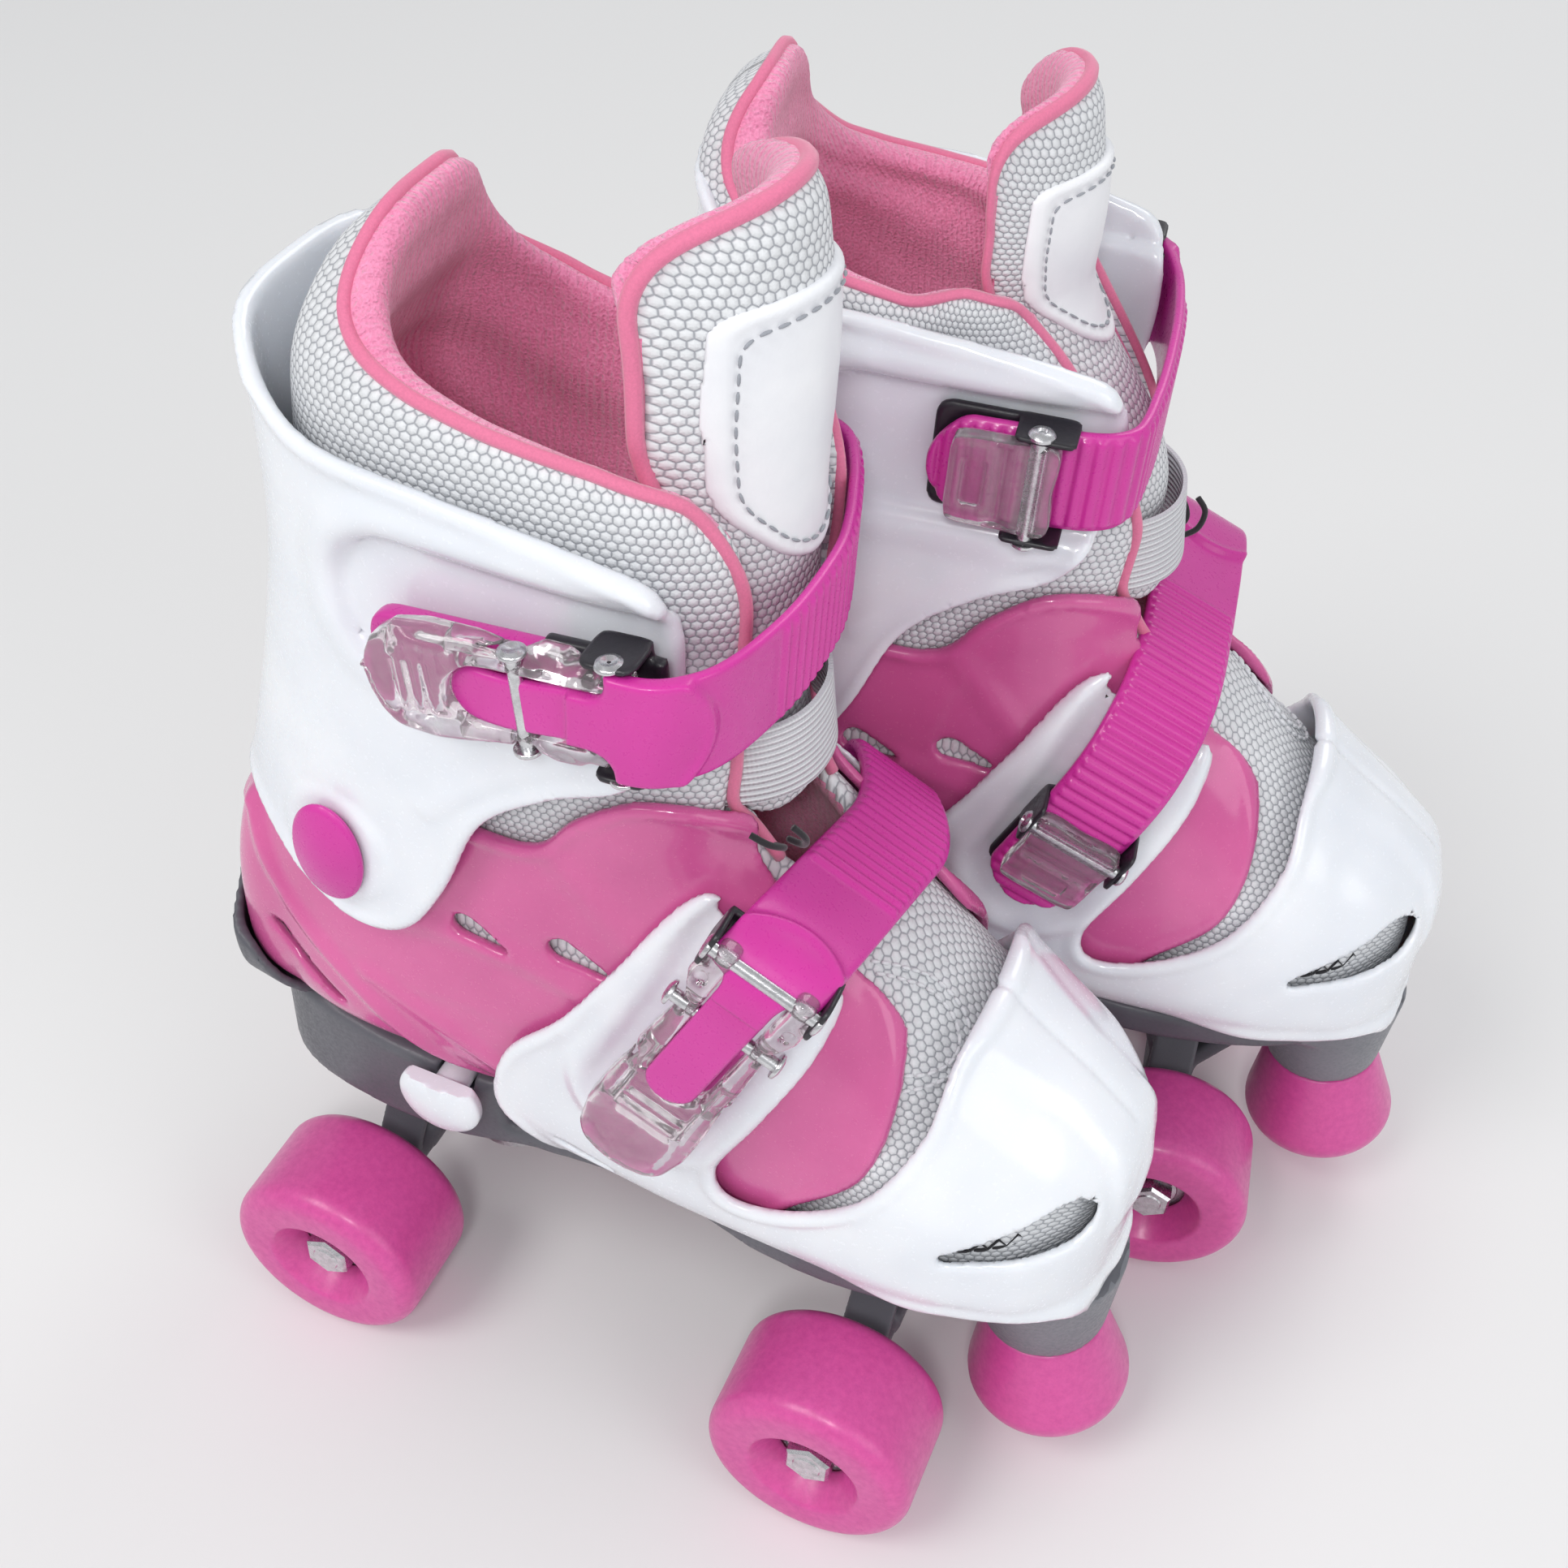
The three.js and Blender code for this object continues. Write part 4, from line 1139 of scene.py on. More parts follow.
def lever_parts(length, reach, arms):
    """A clear lever with ribs and a slot for the strap's finger, and its steel rods and rivets.

    The slot's closed end lies at reach; a lever with arms has a second rod."""
    grid = Grid((-length - 2, -15.5, -1), (6, 15.5, 10), 0.55)
    x, y, z, ay = grid.axes
    paddle = np.interp(x, [-length + v for v in (0, 1, 3, 7, 14, 24)] + [-22, -20],
                       [0.5, 5, 8.4, 11.2, 12.6, 12.4, 11.4, 10.4])
    if arms:  # a swelling between the hinge and the second rod
        hinge_end = np.interp(x, [-20, -18.5, -14, -9, -6, 0, 4], [10.4, 10.6, 13.4, 13.2, 11.0, 11.6, 11.4])
    else:
        hinge_end = np.interp(x, [-20, -6, 4], [12.0, 11.0, 10.4])
    edge = (ay - np.where(x > -20, hinge_end, paddle)) * 0.9
    top = 5.2 + 2.0 * step01(-x, length * 0.45, length * 0.75) - 2.2 * step01(-x, length - 9, length + 3)
    top = top - 1.3 * step01(ay, 8.5, 13)
    d = smax(smax(smax(edge, z - top, 2.2), -z, 0.8), x - 4, 1.5)
    d = cut(d, line_distance(x, y, [(8, 0), (reach, 0)]) - SLOT_HALF, 1.4)
    for at in (0, -19.5) if arms else (0,):
        d = cut(d, inside_all(np.abs(x - at) - 2.3, 9.0 - ay, 3.2 - z), 1.0)
    if arms:
        dimple = np.sqrt(((x + 11.5) / 1.5) ** 2 + (ay - 10.2) ** 2) - 1.3
        d = cut(d, inside_all(dimple, 4.2 - z), 0.8)
    for k in range(3):
        groove = np.sqrt((x - reach + 10 + 3.2 * k) ** 2 + (z - top - 0.2) ** 2) - 0.9
        d = cut(d, inside_all(groove, ay - 6.5), 0.5)
    d = cut(d, inside_all(np.abs(x - reach + 12) - 7.0, ay - 8.0, z - 2.6), 1.2)
    d = cut(d, inside_all(np.abs(x - reach + 1) - 5.5, np.abs(ay - 9.6) - 1.3, z - 3.4), 0.8)
    pins = pin_rod(12.9, (0, 0, 3.25)) + (pin_rod(11.0, (-19.5, 0, 3.6)) if arms else [])
    return surface(d, grid, 3), merge(*pins)


def arm_parts():
    """The two fixed clear arms between a lever and its hinge plates, beyond the lever's pin."""
    grid = Grid((-2, -15.5, -1), (24, 15.5, 8), 0.55)
    x, _, z, ay = grid.axes
    wide = np.interp(x, [0, 3, 8, 13, 15, 21], [9.6, 10.6, 13.4, 13.0, 11.2, 11.6])
    sides = inside_all((ay - wide) * 0.9, SLOT_HALF - ay)
    d = smax(sides, np.maximum(z - 5.4 + 0.12 * (ay - 9) ** 2, -z), 1.6)
    d = smax(d, between(x, 2.6, 21), 1.4)
    dimple = np.sqrt(((x - 10.5) / 1.6) ** 2 + (ay - 10.2) ** 2) - 1.2
    body = surface(cut(d, inside_all(dimple, 4.0 - z), 0.8), grid, 3)
    return body, merge(*pin_rod(12.9, (ARM_SHIFT, 0, 3.25)))


def bracket_parts(shift):
    """The dark base that a lever is hinged to, with an ear at each end of its pin."""
    grid = Grid((-30, -14.8, -7), (11, 14.8, 8), 0.7)
    x, _, z, ay = grid.axes
    rear, front = (-6, 2) if shift else (-17, 7)
    base = smax(inside_all(between(x, rear, front), ay - 10.0), between(z, -5.8, -3.0), 0.8)
    ear = smax(np.abs(x + 0.5) - 5.6, between(z, -5.5, 5.4), 3.5)
    ear = smax(ear, np.abs(ay - 13.0) - 0.65, 0.4)
    foot = smax(inside_all(np.abs(x + 0.5) - 5.0, np.abs(ay - 11.2) - 2.2), np.abs(z + 4.6) - 0.9, 0.4)
    points, faces = surface(smin(smin(base, foot, 0.6), ear, 0.6), grid, 2)
    return points + (shift, 0, 0), faces


def base_strip(length):
    """The end of the strap's own base plate, seen under the lever's scoop."""
    grid = Grid((-length - 4, -11, -7), (0, 11, 1), 0.8)
    x, _, z, ay = grid.axes
    plan = smax(np.abs(x + length / 2 + 5) - length / 2 + 3, ay - 9.0, 6.0)
    return surface(smax(plan, np.abs(z + 3.4) - 2.3, 1.2), grid, 2)


def catch_parts():
    """Clear release tab with a fluted middle, and the pin it turns on."""
    grid = Grid((-20, -12.5, -0.5), (6, 12.5, 6), 0.5)
    x, y, z, ay = grid.axes
    outline = spline([(4, -10.6), (4.3, 0), (4, 10.6), (-6, 10.9), (-16, 10.6), (-18, 8), (-18.2, 0),
                      (-18, -8), (-16, -10.6), (-6, -10.9)])
    d = smax(smax(line_distance(x, y, outline, closed=True), z - 4.4, 1.4), -z, 0.6)
    flute = np.sqrt((x + 7) ** 2 + (z - 5.6) ** 2) - 2.4
    d = cut(d, inside_all(flute, ay - 9.5), 0.8)
    window = smax(np.abs(x + 12.6) - 2.4, ay - 5.5, 1.0)
    body = surface(cut(d, inside_all(window, 3.5 - z), 0.6), grid, 3)
    pin = turned([(0, -12.3), (1.6, -12.3), (1.9, -12.0), (1.9, 12.0), (1.6, 12.3), (0, 12.3)], 20)
    return body, (laid(pin[0], (0, 1, 0), (0, 0, 2.5)), pin[1])


def catch_base():
    """The dark plate under a catch, with an ear at each end of its pin."""
    grid = Grid((-27, -15, -9), (12, 15, 6), 0.7)
    x, _, z, ay = grid.axes
    plate = smax(smax(np.abs(x + 7.5) - 15.5, ay - 13.0, 4.0), np.abs(z + 5.3) - 1.1, 0.8)
    ear = smax(np.abs(x - 1.0) - 6.5, between(z, -6.0, 4.6), 2.0)
    ear = smax(ear, np.abs(ay - 12.6) - 0.6, 0.4)
    return surface(smin(plate, ear, 0.6), grid, 2)


def catch_screws():
    head = turned([(0, 0), (2.9, 0), (2.9, 0.6), (2.3, 1.3), (1.2, 1.5), (0.9, 0.9), (0, 0.9)], 32)
    return merge(*((laid(head[0], (0, s, 0), (0, s * 13.0, 2.5)), head[1]) for s in (-1, 1)))


# ---------------------------------------------------------------- straps
# Each strap's inner line: how far out to the side, and how far along the strap's own plane. It
# starts with the finger tab in the lever's slot and ends with the ladder's tail under the catch.
# The left skate's straps lie lower in front, because its tongue has sunk back.
ANKLE_LINE = {
    "right": [(49.2, -22), (49.8, -12), (50.4, 2), (50.6, 12), (49.6, 19), (46.3, 24), (40.5, 28.2),
              (31, 31.2), (17, 33.4), (0, 33.5), (-10, 31.8), (-20, 28.8), (-30, 25), (-37.5, 20.4),
              (-40.6, 13), (-41.6, 2), (-42.4, -10), (-42.8, -22)],
    "left": [(49.2, -22), (49.8, -12), (50.2, -2), (50.0, 7), (48.6, 12), (44.5, 16.5), (38, 19.6),
             (28, 21.8), (14, 23), (0, 23.2), (-14, 22.8), (-24, 22), (-31, 21.2), (-36.5, 19.6),
             (-40, 15.5), (-41.6, 8), (-42.4, -8), (-42.8, -22)],
}
INSTEP_LINE = {
    "right": [(53.4, 28), (52.8, 40), (52.0, 54), (51.4, 63), (50.6, 72), (48.4, 79), (43.5, 82.4),
              (34, 82.2), (20, 79.0), (0, 74.6), (-16, 71.0), (-31, 65), (-41, 56), (-44.4, 44),
              (-44.6, 26), (-45, 8)],
    "left": [(53.4, 28), (52.8, 40), (52.0, 54), (51.4, 63), (49.6, 69.5), (45.5, 72.8), (39, 74.4),
             (28, 75.0), (14, 74.8), (0, 74.4), (-14, 73.6), (-24, 71.6), (-33, 67), (-41, 58),
             (-44.4, 45), (-44.6, 26), (-45, 8)],
}
LEVER_SIDE, CATCH_SIDE = 50, -44  # where an instep strap leaves its lever and meets its catch
SKEW = {"right": 0.172, "left": 0.0}  # how much an instep strap drifts towards the toe as it crosses
KEPT = 0.25  # share of that drift left at the catch


class Bend:
    """Bends a flat piece, drawn along, across and up from a line, round that line."""

    def __init__(self, line, start):
        path = spline(line, closed=False, per=40)
        step = np.linalg.norm(np.diff(path, axis=0), axis=1)
        along = np.concatenate([[0], np.cumsum(step)])
        self.s = np.arange(0, along[-1], 0.5)
        self.path = np.stack([np.interp(self.s, along, path[:, k]) for k in range(2)], axis=1)
        heading = np.gradient(self.path, axis=0)
        heading /= np.linalg.norm(heading, axis=1)[:, None]
        self.normal = np.stack([heading[:, 1], -heading[:, 0]], axis=1)
        self.length = self.s[-1]
        self.start = self.s[np.argmin(np.abs(self.path - np.array(start)).sum(axis=1))]

    def lay(self, piece, slope, x, z, skew=0.0):
        """Points (s, width, height) go into a plane across the skate that slopes up and forwards."""
        p, faces = np.array(piece[0], dtype=float), piece[1]
        at = np.stack([np.interp(p[:, 0], self.s, self.path[:, k]) for k in range(2)], axis=1)
        up = np.stack([np.interp(p[:, 0], self.s, self.normal[:, k]) for k in range(2)], axis=1)
        q = at + up * p[:, 2:]
        ahead, across = np.array([math.cos(slope), 0, math.sin(slope)]), np.array([0, -1, 0])
        wide = np.cross(across, ahead)
        drift = skew * (LEVER_SIDE - q[:, :1]) * (1 - (1 - KEPT) * step01(-q[:, :1], 8, -CATCH_SIDE))
        width = p[:, 1:2] - drift
        return q[:, :1] * across + q[:, 1:2] * ahead + width * wide + np.array([x, 0, z]), faces


def strap_parts(bend, hinge, crease, ribs_from, tip, sag):
    """Finger tab, smooth overlay and ribbed ladder in one band, laid out flat."""
    grid = Grid((-1, -13.5, -1), (bend.length + 1, 13.5, 6), 0.62)
    s, y, h, ay = grid.axes
    wide = inside_all(ay - 12.1, hinge - 0.10 * y - s)
    bent = np.sqrt(np.maximum(tip + 6.2 - s, 0) ** 2 + (y + sag * step01(hinge - s, 2, 26)) ** 2)
    plan = smin(smax(bent - 6.0, s - hinge - 6, 1.0), wide, 5.0)
    plan = smax(plan, s - bend.length + 0.5 + 0.05 * y ** 2, 2.0)
    edge = s - crease + 0.035 * y ** 2
    over = 1.3 * (1 - step01(edge, -1.4, 1.0)) + 0.5 * hill(edge + 1.0, 2.2)
    tooth = np.abs((s / 3.1) % 1.0 - 0.5)
    ladder = step01(s, ribs_from, ribs_from + 1) * (1 - step01(ay, 10.4, 11.2))
    ribs = ladder * (0.95 * step01(tooth, 0.12, 0.24) - 0.1)
    top = 2.3 + over * (s > hinge - 8) + ribs
    return surface(smax(plan, np.abs(h - top / 2) - top / 2, 1.1), grid, 3)


# ---------------------------------------------------------------- liner and tongue
LINER_LEG = LEG[:3] + [(262, -75, 30.5, 35), (285, -71, 29, 36), (300, -63, 28, 36.5), (316, -52, 27, 36)]


def leg_section(z, grow=0.0):
    """Middle, half length and half width of the liner's leg at a height."""
    rear, front, half = columns(LINER_LEG, z)
    return (rear + front) / 2, (front - rear) / 2 + grow, half + grow


def leg_point(angle, z, grow=0.0):
    """A point of the leg's outer face: angle 0 looks forwards, a half turn looks back."""
    middle, deep, half = leg_section(z, grow)
    c, s = np.cos(angle), np.sin(angle)
    r = (np.abs(c / deep) ** 3 + np.abs(s / half) ** 3) ** (-1 / 3)
    return np.stack([middle + r * c, r * s, z + 0 * r], axis=-1)


def turn_table(deep, half, n, count=361):
    """Length round a section from its front, against the angle seen from its middle."""
    angle = np.linspace(0, math.pi, count)
    r = (np.abs(np.cos(angle) / deep) ** n + np.abs(np.sin(angle) / half) ** n) ** (-1 / n)
    p = np.stack([r * np.cos(angle), r * np.sin(angle)], axis=1)
    return angle, np.concatenate([[0], np.cumsum(np.linalg.norm(np.diff(p, axis=0), axis=1))])


def knit_coords(points):
    """(along, up) in millimetres of knitted cloth laid round the leg or over the foot."""
    p = np.array(points)
    middle, _, _ = leg_section(np.clip(p[:, 2], 180, 316))
    angle, length = turn_table(54.0, 34.5, 3)
    around = np.interp(np.abs(np.arctan2(p[:, 1], p[:, 0] - middle)), angle, length) * np.sign(p[:, 1])
    leg = np.stack([around, p[:, 2]], axis=1)
    angle = np.arctan2(p[:, 1], p[:, 2] - 108)
    over = np.interp(np.abs(angle), *turn_table(44.0, 35.0, 3)) * np.sign(p[:, 1])
    foot = np.stack([p[:, 0], over], axis=1)
    on_foot = p[:, 2] < np.interp(p[:, 0], [-60, 10, 40], [150, 196, 210])
    both_ways = np.where(on_foot[:, None], foot, leg)
    return np.concatenate([both_ways, np.zeros((len(p), 1))], axis=1)


def collar_height(x, y):
    """Height of the collar's rim: a lobe at the back, a dip beside it, and a fall to the front."""
    base = np.interp(x, [-80, -62, -50, -35, -20, 0, 14, 22, 30],
                     [298, 298, 296, 291, 288, 286, 282, 274, 264])
    base = base - 9 * step01(y, 4, 24) * step01(-x, -6, 22)
    lobe = 20 * step01(-x, 22, 50) * (1 - step01(np.abs(y), 12, 34))
    return base + lobe


def liner():
    """The padded boot and its collar: points, faces, which faces are terry, knit coordinates, field."""
    grid = Grid((-106, -42, 82), (122, 42, 322), 1.7)
    x, y, z, ay = grid.axes
    leg = np.maximum(leg_field(grid, LINER_LEG), LEG_FROM - z)
    foot = foot_field(grid)
    # the knit fills the toe shell, so that it shows in the vents
    swell = 3.7 * step01(x, 50, 76) * (1 - step01(z, 126, 138)) * step01(ay, 5, 14)
    skin = smin(foot - swell, leg, 8)
    rim = z - collar_height(x, y)
    back = step01(-x, 38, 62)
    # the pad swells towards the rim, most of all in the lobe at the back
    puff = 0.8 * hill(rim + 14, 22) * (1 - hill(ay, 10) * (x > 0))
    folds = 0.8 * np.sin(z * 0.26 + 0.12 * x + 0.5 * np.sin(x * 0.11)) * step01(z, 200, 240)
    thick = 6 + 2 * step01(z, 180, 215) + 12 * back * step01(z, 262, 300) + folds
    wall = smax(skin - puff, -smin(foot + 6, leg + thick, 5), 3.0)
    wall = smax(wall, rim, 8.0 + 8.0 * back)
    wall = cut(wall, inside_all(ay - 20.5, 206 - z - 6 * step01(x, 0, 40), -x - 2), 4.0)
    slit_half = np.interp(x, [8, 48], [20, 7])
    wall = cut(wall, inside_all(ay - slit_half, 170 - z, between(x, 5, 47)), 4.0)
    points, faces = surface(wall, grid, 5)
    depth, _ = sample(grid.full(skin), grid, points)
    inside = (depth[faces].mean(axis=1) < -2.9).astype(int)
    return points, faces, inside, knit_coords(points), (grid.full(wall), grid)


def settle_on(field, grid, path, lift):
    """Slides the points of a path onto a surface, and a little way off it."""
    p = np.array(path, dtype=float)
    for _ in range(12):
        value, slope = sample(field, grid, p)
        size = np.maximum(np.linalg.norm(slope, axis=1), 0.3)
        p -= np.clip((value - lift) / size, -1.5, 1.5)[:, None] * slope / size[:, None]
    return p


def collar_rope():
    """The piping: up one front edge, round the rim, and down the other."""
    edge = [(38.5, 17.5, 192), (34.0, 20.0, 199), (31.0, 21.8, 207), (28.3, 22.6, 216)]
    for z in (226, 238, 250, 262):
        middle, deep, half = leg_section(z)
        edge.append((middle + deep * (1 - (22.6 / half) ** 3) ** (1 / 3) + 0.4, 22.8, z))
    rim = []
    for a in np.linspace(math.radians(33), math.radians(327), 60):
        z = 280.0
        for _ in range(6):
            p = leg_point(a, z, -2.2)
            z = float(collar_height(p[0], p[1])) - 1.4
        rim.append((p[0], p[1], z))
    return spline(edge + rim + [(x, -y, z) for x, y, z in edge[::-1]], closed=False, per=5)


def smoothed(path, rounds=6):
    p = np.array(path, dtype=float)
    for _ in range(rounds):
        p[1:-1] = (p[:-2] + 2 * p[1:-1] + p[2:]) / 4
    return p


TONGUE_TOP, TONGUE_LOW = 331.0, 196.0
TONGUE_HALF = ([188, 210, 240, 258, 285, 318, 331], [15, 19, 20.4, 20.8, 25.0, 25.4, 24.0])
WRAP_AT, WRAP_POWER = 22.0, 2.2


def tongue_wrap(z):
    """How far back the tongue's face has turned at WRAP_AT from its middle."""
    return 13.0 + 4.0 * step01(z, 255, 285)


def tongue_front(y, z):
    """How far forwards the tongue's outer face lies: it wraps round the shin."""
    line = np.interp(z, [150, 196, 206, 215, 250, 285, 310, 332],
                     [55, 37, 32.6, 30.6, 29.8, 29.4, 28.6, 25.4])
    return line - tongue_wrap(z) * (np.abs(y) / WRAP_AT) ** WRAP_POWER + 0.4 * np.sin(z * 0.11)


def tongue_slope(y, z):
    return tongue_wrap(z) * WRAP_POWER / WRAP_AT * (np.abs(y) / WRAP_AT) ** (WRAP_POWER - 1)


def tongue():
    grid = Grid((-14, -30, 188), (46, 30, 338), 1.4)
    x, y, z, ay = grid.axes
    front = tongue_front(y, z)
    thick = 8.5 + 3.5 * hill(z - 320, 22)
    plan = smax(ay - np.interp(z, *TONGUE_HALF), z - TONGUE_TOP - 1.0 + 0.014 * y ** 2, 9)
    plan = smax(plan, TONGUE_LOW - z, 6)
    d = smax(np.abs(x - front + thick / 2) - thick / 2, plan, 9.0)
    points, faces = surface(d, grid, 5)
    behind = tongue_front(points[:, 1], points[:, 2]) - points[:, 0]
    terry_side = (behind[faces].mean(axis=1) > 4.0).astype(int)
    away = np.linspace(0, 32, 65)
    along = np.concatenate([[0], np.cumsum(0.5 * np.sqrt(1 + tongue_slope(away[1:], 280) ** 2))])
    round_it = np.interp(np.abs(points[:, 1]), away, along) * np.sign(points[:, 1])
    coords = np.stack([round_it, points[:, 2], 0 * points[:, 0]], axis=1)
    return points, faces, terry_side, coords, (grid.full(d), grid)


def on_tongue(y, z, lift=0.0):
    """Points on the tongue's outer face, or a little way off it."""
    y, z = np.broadcast_arrays(np.asarray(y, dtype=float), np.asarray(z, dtype=float))
    slope = tongue_slope(y, z) * np.sign(y)
    size = np.sqrt(1 + slope ** 2)
    return np.stack([tongue_front(y, z) + lift / size, y + lift * slope / size, z], axis=-1)


PATCH = [  # (across, up), one side; the lower edge hangs down in the middle
    (0, 257), (10, 261), (19.6, 273), (20.8, 292), (20.3, 312), (10, 314.5), (0, 315),
]
PATCH_MIDDLE = 287.0


def mirrored(half):
    """A whole outline from its right half, whose first and last points lie on the middle line."""
    return half + [(-y, z) for y, z in half[-2:0:-1]]


def patch_outline(inset=0.0):
    """The patch's closed outline, drawn in by a margin."""
    line = np.array(fillet(mirrored(PATCH), 5.0, 6, closed=True))
    line[:, 0] *= 1 - inset / 20.4
    line[:, 1] = PATCH_MIDDLE + (line[:, 1] - PATCH_MIDDLE) * (1 - inset / 27.5)
    return line


def patch():
    grid = Grid((0, -25, 252), (34, 25, 321), 0.75)
    x, y, z, _ = grid.axes
    plan = line_distance(y, z, patch_outline(), closed=True)
    lift = x - tongue_front(y, z)
    top = 1.1 + 0.7 * hill(plan + 1.2, 1.8)
    return surface(smax(np.abs(lift - (top - 1.0) / 2) - (top + 1.0) / 2, plan, 1.0), grid, 3)


def patch_thread():
    line = patch_outline(3.4)
    line = np.concatenate([line, line[:1]])
    return stitches(on_tongue(line[:, 0], line[:, 1], 1.5), 2.3, 1.2, 0.36)


def tongue_piping(field, grid):
    """The pink seam round the sides and top of the tongue, between its knit and its terry."""
    z = np.linspace(204, 312, 22)
    side = list(zip(np.interp(z, *TONGUE_HALF) - 0.3, z))
    crown = [(23.6, 318.5), (20.6, 323.5), (15.5, 327.0), (8, 329.4), (0, 330.4)]
    right = side + crown
    p = spline([(-y, z) for y, z in right] + right[-2::-1], closed=False, per=4)
    path = on_tongue(p[:, 0], p[:, 1]) - (3.4, 0, 0)
    return smoothed(settle_on(field, grid, path, 0.3), 4)


def elastic_band(y_half=20.4, low=205, high=223, steps=48):
    """A flat elastic band across the front, held at its ends and standing off between them."""
    points, coords = [], []
    for y in np.linspace(-y_half, y_half, steps):
        stand_off = 0.9 + 2.6 * (1 - (abs(y) / y_half) ** 3)
        for z, out in ((low, 0), (high, 0), (high, 1.0), (low, 1.0)):
            points.append(on_tongue(y, z, stand_off + out))
            coords.append((y * 1.2, z, 0))
    return np.array(points), strip_faces(steps, 4), np.array(coords)


# ---------------------------------------------------------------- seams and small trim
def foot_skin(x, z, side, grow):
    """A point on the foot's side face."""
    low, high, half, waist = columns(FOOT, x)
    above = z > waist
    n = 2.4 if above else 4.0
    b = abs((z - waist) / ((high - waist) if above else (waist - low)))
    return (x, side * (half + grow) * max(0.0, 1 - min(b, 1.0) ** n) ** (1 / n), z)


def toe_top(x, y):
    """Height of the foot's upper face."""
    _, high, half, waist = columns(FOOT, x)
    return waist + (high - waist) * max(0.0, 1 - min(abs(y) / half, 1.0) ** 2.4) ** (1 / 2.4)


def toe_loops():
    """Two lines of white stitching in the shape of a hook on top of the toe mesh."""
    outer = [(56, -15), (62, -10.5), (69, -6), (76, -6), (80, -10.5), (79.5, -17), (75, -23.5), (68, -28.5)]
    inner = [(x + (67 - x) * 0.16, y + (-19 - y) * 0.24) for x, y in outer]
    lines = (spline(hook, closed=False, per=12) for hook in (outer, inner))
    return merge(*(stitches([(x, y, toe_top(x, y) + 0.5) for x, y in line], 2.2, 0.5, 0.5) for line in lines))


SEAMS = [  # from x, to x, points, height at the first x, rise per mm, stand-off
    (22, 52, 24, 90.38, 0.14, 0.5), (90, 110, 24, 108.24, 0.24, 4.4), (-86, -66, 24, 130.9, -0.88, 0.6),
]


def seam_stitches(side):
    """Black overlocking that shows through the vents of the shells."""
    pieces = []
    for start, end, count, height, rise, lift in SEAMS:
        line = np.array([foot_skin(x, height + rise * (x - start), side, lift)
                         for x in np.linspace(start, end, count)])
        zigzag = line[::2].copy()
        zigzag[1::2, 2] += 3.0
        pieces += [stitches(line, 3.2, 0.9, 0.5), tube(zigzag, 0.38, 6)]
    return merge(*pieces)


def lace_ends(s):
    """Two short black cord ends that come out beside the tongue."""
    cords = ([(34, 19, 196), (37, 22, 199.5), (35, 25.5, 202.5), (31, 26, 204)],
             [(36, 17, 197), (40, 19, 199), (41, 21, 203), (38.5, 22, 206)])
    return merge(*(tube(spline([(x, s * y, z) for x, y, z in cord], closed=False), 0.75) for cord in cords))


# ---------------------------------------------------------------- every piece of both skates
def add_running_gear():
    wheel = wheel_parts()
    steel, shields = axle_parts()
    for end, sx in (("front", 1), ("rear", -1)):
        x = sx * HALF_BASE
        for place, y in (("outer", -TRACK / 2), ("inner", TRACK / 2)):
            both(f"{end}_{place}_tyre", laid(wheel[0], (0, 1, 0), (x, y, AXLE_Z)), wheel[1], URETHANE,
                 f"{end}_{place}_roller", stands_for=[f"{end}_{place}_wheel"], slot="urethane")
        both(f"{end}_axle_steel", laid(steel[0], (0, 1, 0), (x, 0, AXLE_Z)), steel[1], STEEL,
             f"{end}_steering", stands_for=[f"{end}_axle"], slot="steel", angle=32)
        both(f"{end}_bearings", laid(shields[0], (0, 1, 0), (x, 0, AXLE_Z)), shields[1], NICKEL,
             f"{end}_steering", slot="steel", angle=40)
        truck = truck_parts(sx)
        both(f"{end}_hanger", *truck, GREY, f"{end}_steering", stands_for=[f"{end}_truck"],
             slot="chassis_plastic")
        rubber, cups = cushion_parts()
        at = (sx * KINGPIN_X, 0, 0)
        both(f"{end}_cushion_rubber", rubber[0] + at, rubber[1], BLACK, "skate",
             stands_for=[f"{end}_cushion"], slot="cushion")
        both(f"{end}_cushion_cups", cups[0] + at, cups[1], STEEL, "skate", slot="steel", angle=50)
        pin = kingpin_parts()
        both(f"{end}_kingpin_steel", pin[0] + at, pin[1], STEEL, "skate", stands_for=[f"{end}_kingpin"],
             slot="steel", angle=32)


def add_chassis():
    points, faces = chassis()
    middle = points[faces].mean(axis=1)
    ahead, rise = from_stop(middle[:, 0], middle[:, 2])
    on_pylon = (np.hypot(ahead, middle[:, 1]) < pylon_radius(rise) + 2) & (rise < 58)
    both("chassis_plate", points, faces, [GREY, MOUNT], "skate", stands_for=["chassis"],
         slot="chassis_plastic", face_slots=on_pylon.astype(int))
    both("toe_stop_rubber", *stop_parts(), STOPPER, "skate", stands_for=["toe_stop"], slot="stop_rubber")
    both("toe_stop_stud", *stop_bolt(), STEEL, "skate", stands_for=["toe_stop_bolt"], slot="steel", angle=35)


def add_shells():
    both("heel_cup", *heel_shell(), PINK, "skate", stands_for=["heel_shell"], slot="pink_shell")
    both("toe_cap", *toe_shell(), WHITE, "toe_part", stands_for=["toe_shell"], slot="white_shell")
    both("cuff_shell", *cuff_shell(), WHITE, "cuff_part", stands_for=["cuff"], slot="white_shell")
    both("outer_rivet_head", *rivet_parts(-1), MAGENTA, "skate", stands_for=["outer_rivet"],
         slot="strap_plastic", angle=50)
    both("inner_rivet_head", *rivet_parts(1), MAGENTA, "skate", stands_for=["inner_rivet"],
         slot="strap_plastic", angle=50)
    both("size_button_cap", *button_parts(), WHITE, "size_button_part", stands_for=["size_button"],
         slot="white_shell", angle=40)


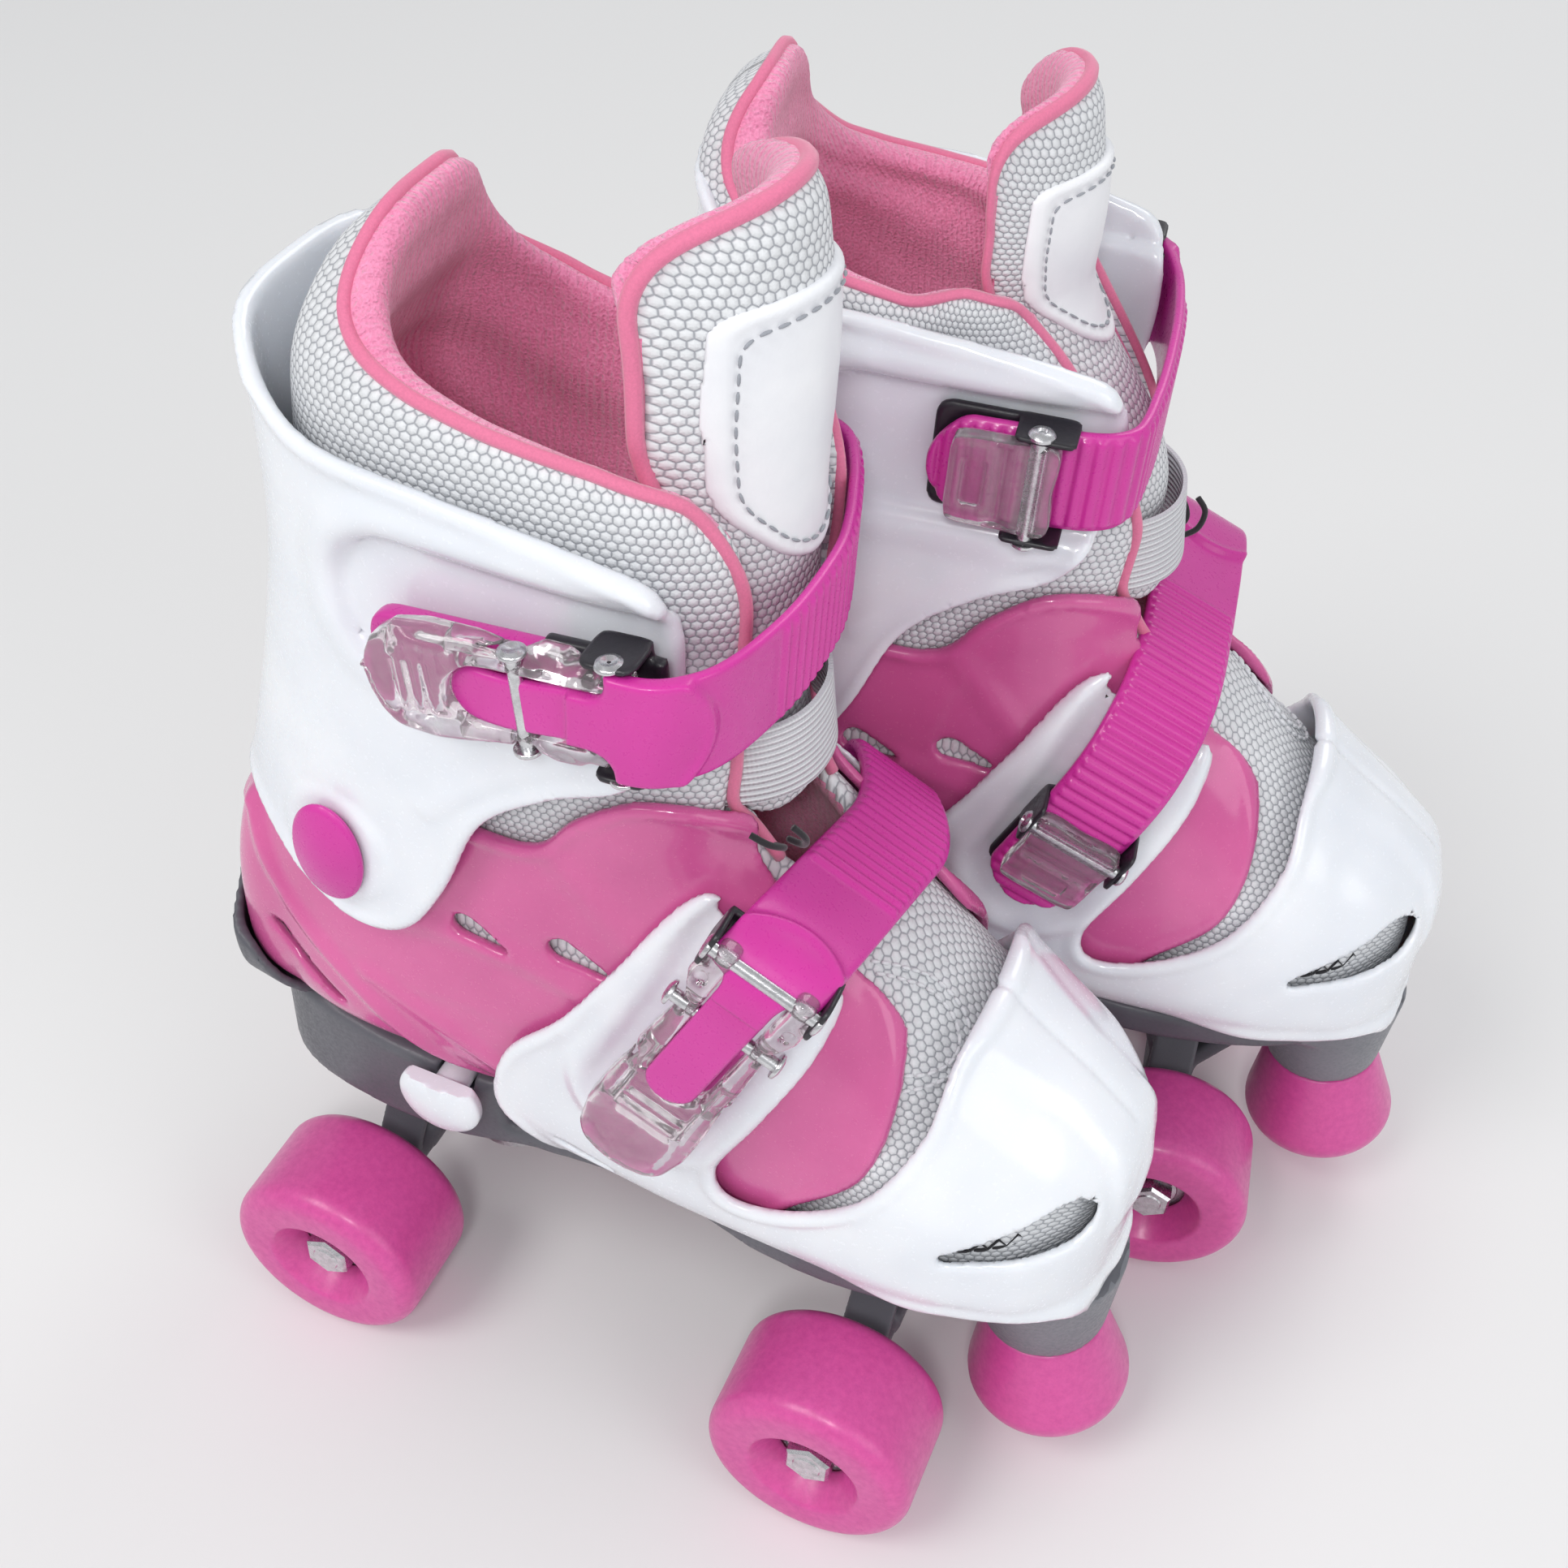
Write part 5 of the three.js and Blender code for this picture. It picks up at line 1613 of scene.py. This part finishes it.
def settled(stand, points):
    """The left skate's tongue and collar have sunk back: its soft pieces lean towards the heel."""
    p = np.array(points, dtype=float)
    if stand.sign > 0:
        return p
    x, z = p[:, 0].copy(), p[:, 2].copy()
    back = step01(-x, 8, 45) * step01(z, 258, 310)
    front = step01(x, -52, 26)
    p[:, 0] -= 19 * back + 26 * front * step01(z, 220, 276)
    dip = step01(-x, -20, 12) * (1 - step01(-x, 42, 66)) * step01(-p[:, 1], 4, 24)
    p[:, 2] -= 5 * back + 16 * front * step01(z, 262, 322) + 9 * dip * step01(z, 262, 296)
    return p


def soft(name, mesh, materials, body="cuff_part", **more):
    """One soft piece for each skate."""
    return [finish_mesh(name, stand, settled(stand, mesh[0]), mesh[1], materials, body,
                        slot="liner_mesh", **more) for stand in STANDS]


def on_both_parts(item):
    """Works out two points on the skate, which are not used, and bakes the piece's place into its points."""
    stand = STANDS[0] if item.name.startswith("right") else STANDS[1]
    stand.point((-46, 0, 179))
    stand.point((-58.5, 0, 227.5))
    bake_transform(item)


def bending(name, mesh, materials, **more):
    items = soft(name, mesh, materials, None, **more)
    for item in items:
        on_both_parts(item)
    return items


def add_liner():
    points, faces, inside, coords, field = liner()
    for item in bending("liner_pad", (points, faces), [MESH, TERRY], face_slots=inside, coords=coords,
                        stands_for=["liner_foot", "liner_collar"]):
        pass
    bending("collar_piping", tube(smoothed(settle_on(*field, collar_rope(), 0.2)), 1.4), PINK_THREAD)
    points, faces, behind, coords, field = tongue()
    for item in bending("tongue_pad", (points, faces), [MESH, TERRY], face_slots=behind, coords=coords,
                        stands_for=["tongue"]):
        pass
    soft("tongue_patch", patch(), LEATHER)
    # the patch stitching's grey is painted shade on white thread
    soft("patch_stitching", patch_thread(), SHADED_GREY_THREAD)
    bending("tongue_piping", tube(tongue_piping(*field), 1.7), PINK_THREAD)
    points, faces, coords = elastic_band()
    bending("tongue_elastic", (points, faces), ELASTIC, coords=coords, angle=60)
    for name, mesh, thread in (("toe_stitching", toe_loops(), WHITE_THREAD),
                               ("outer_seam", seam_stitches(-1), BLACK_THREAD),
                               ("inner_seam", seam_stitches(1), BLACK_THREAD),
                               ("outer_lace_ends", lace_ends(-1), BLACK_THREAD)):
        both(name, *mesh, thread, "skate", slot="liner_mesh")


def add_straps(stand):
    right = stand.name == "right"
    ankle = Bend(ANKLE_LINE[stand.name], (50.6, 12) if right else (50.0, 7))
    at = ankle.start
    band = strap_parts(ankle, at + 1.5, at + 19, at + 36, tip=2.0, sag=4.0)
    finish_mesh("ankle_band", stand, *ankle.lay(band, slope=0.0, x=0, z=247), MAGENTA, "cuff_part",
                stands_for=["ankle_strap"], slot="strap_plastic")
    instep = Bend(INSTEP_LINE[stand.name], (51.4, 63))
    at = instep.start
    band = strap_parts(instep, at + (17 if right else 6), at + 30, at + 50, tip=7.5, sag=0.0)
    band = instep.lay(band, slope=RAKE, x=12, z=117, skew=SKEW[stand.name])
    finish_mesh("instep_band", stand, *band, MAGENTA, "toe_part", stands_for=["instep_strap"],
                slot="strap_plastic")


def add_lever(stand, name, carrier, length, reach, arms):
    flat, turning = FLATS[f"{name}_lever"], f"{name}_lever_part"
    lever, pins = lever_parts(length, reach, arms)
    finish_mesh(f"{name}_lever_clear", stand, *flat.lay(lever), CLEAR, turning,
                stands_for=[f"{name}_lever"], slot="clear_plastic")
    finish_mesh(f"{name}_lever_pins", stand, *flat.lay(pins), STEEL, turning, slot="steel", angle=40)
    shift = 0
    if not arms and stand.name == "right":  # this lever is folded down on two fixed arms
        shift = ARM_SHIFT
        body, pins = arm_parts()
        finish_mesh(f"{name}_arms_clear", stand, *flat.lay(body), CLEAR, carrier, slot="clear_plastic")
        finish_mesh(f"{name}_arms_pins", stand, *flat.lay(pins), STEEL, carrier, slot="steel", angle=40)
    for part, mesh, material in (("lever_base", bracket_parts(shift), BLACK),
                                 ("base_strip", base_strip(length), MAGENTA)):
        finish_mesh(f"{name}_{part}", stand, *flat.lay(mesh), material, carrier, slot="strap_plastic")


def add_catch(stand, name, carrier, shift):
    flat, turning = FLATS[f"{name}_catch"], f"{name}_catch_part"
    tab, rod = catch_parts()
    finish_mesh(f"{name}_catch_clear", stand, *flat.lay(tab, shift), CLEAR, turning,
                stands_for=[f"{name}_catch"], slot="clear_plastic")
    finish_mesh(f"{name}_catch_pin", stand, *flat.lay(rod, shift), STEEL, turning, slot="steel", angle=40)
    finish_mesh(f"{name}_catch_base", stand, *flat.lay(catch_base(), shift), BLACK, carrier,
                slot="strap_plastic")
    finish_mesh(f"{name}_catch_screws", stand, *flat.lay(catch_screws(), shift), STEEL, carrier,
                slot="steel", angle=40)


def add_buckles():
    # a catch that the strap meets further forward has slid along its own pin
    forwards = np.sign(FLATS["instep_catch"].turn[1][0])
    for stand in STANDS:
        add_straps(stand)
        add_lever(stand, "ankle", "cuff_part", length=52.0, reach=-27.0, arms=True)
        add_lever(stand, "instep", "toe_part", length=57.0, reach=-20.5, arms=False)
        add_catch(stand, "ankle", "cuff_part", 0.0)
        add_catch(stand, "instep", "toe_part",
                  forwards * SKEW[stand.name] * (LEVER_SIDE - CATCH_SIDE) * KEPT)


add_running_gear()
add_chassis()
add_shells()
add_liner()
add_buckles()
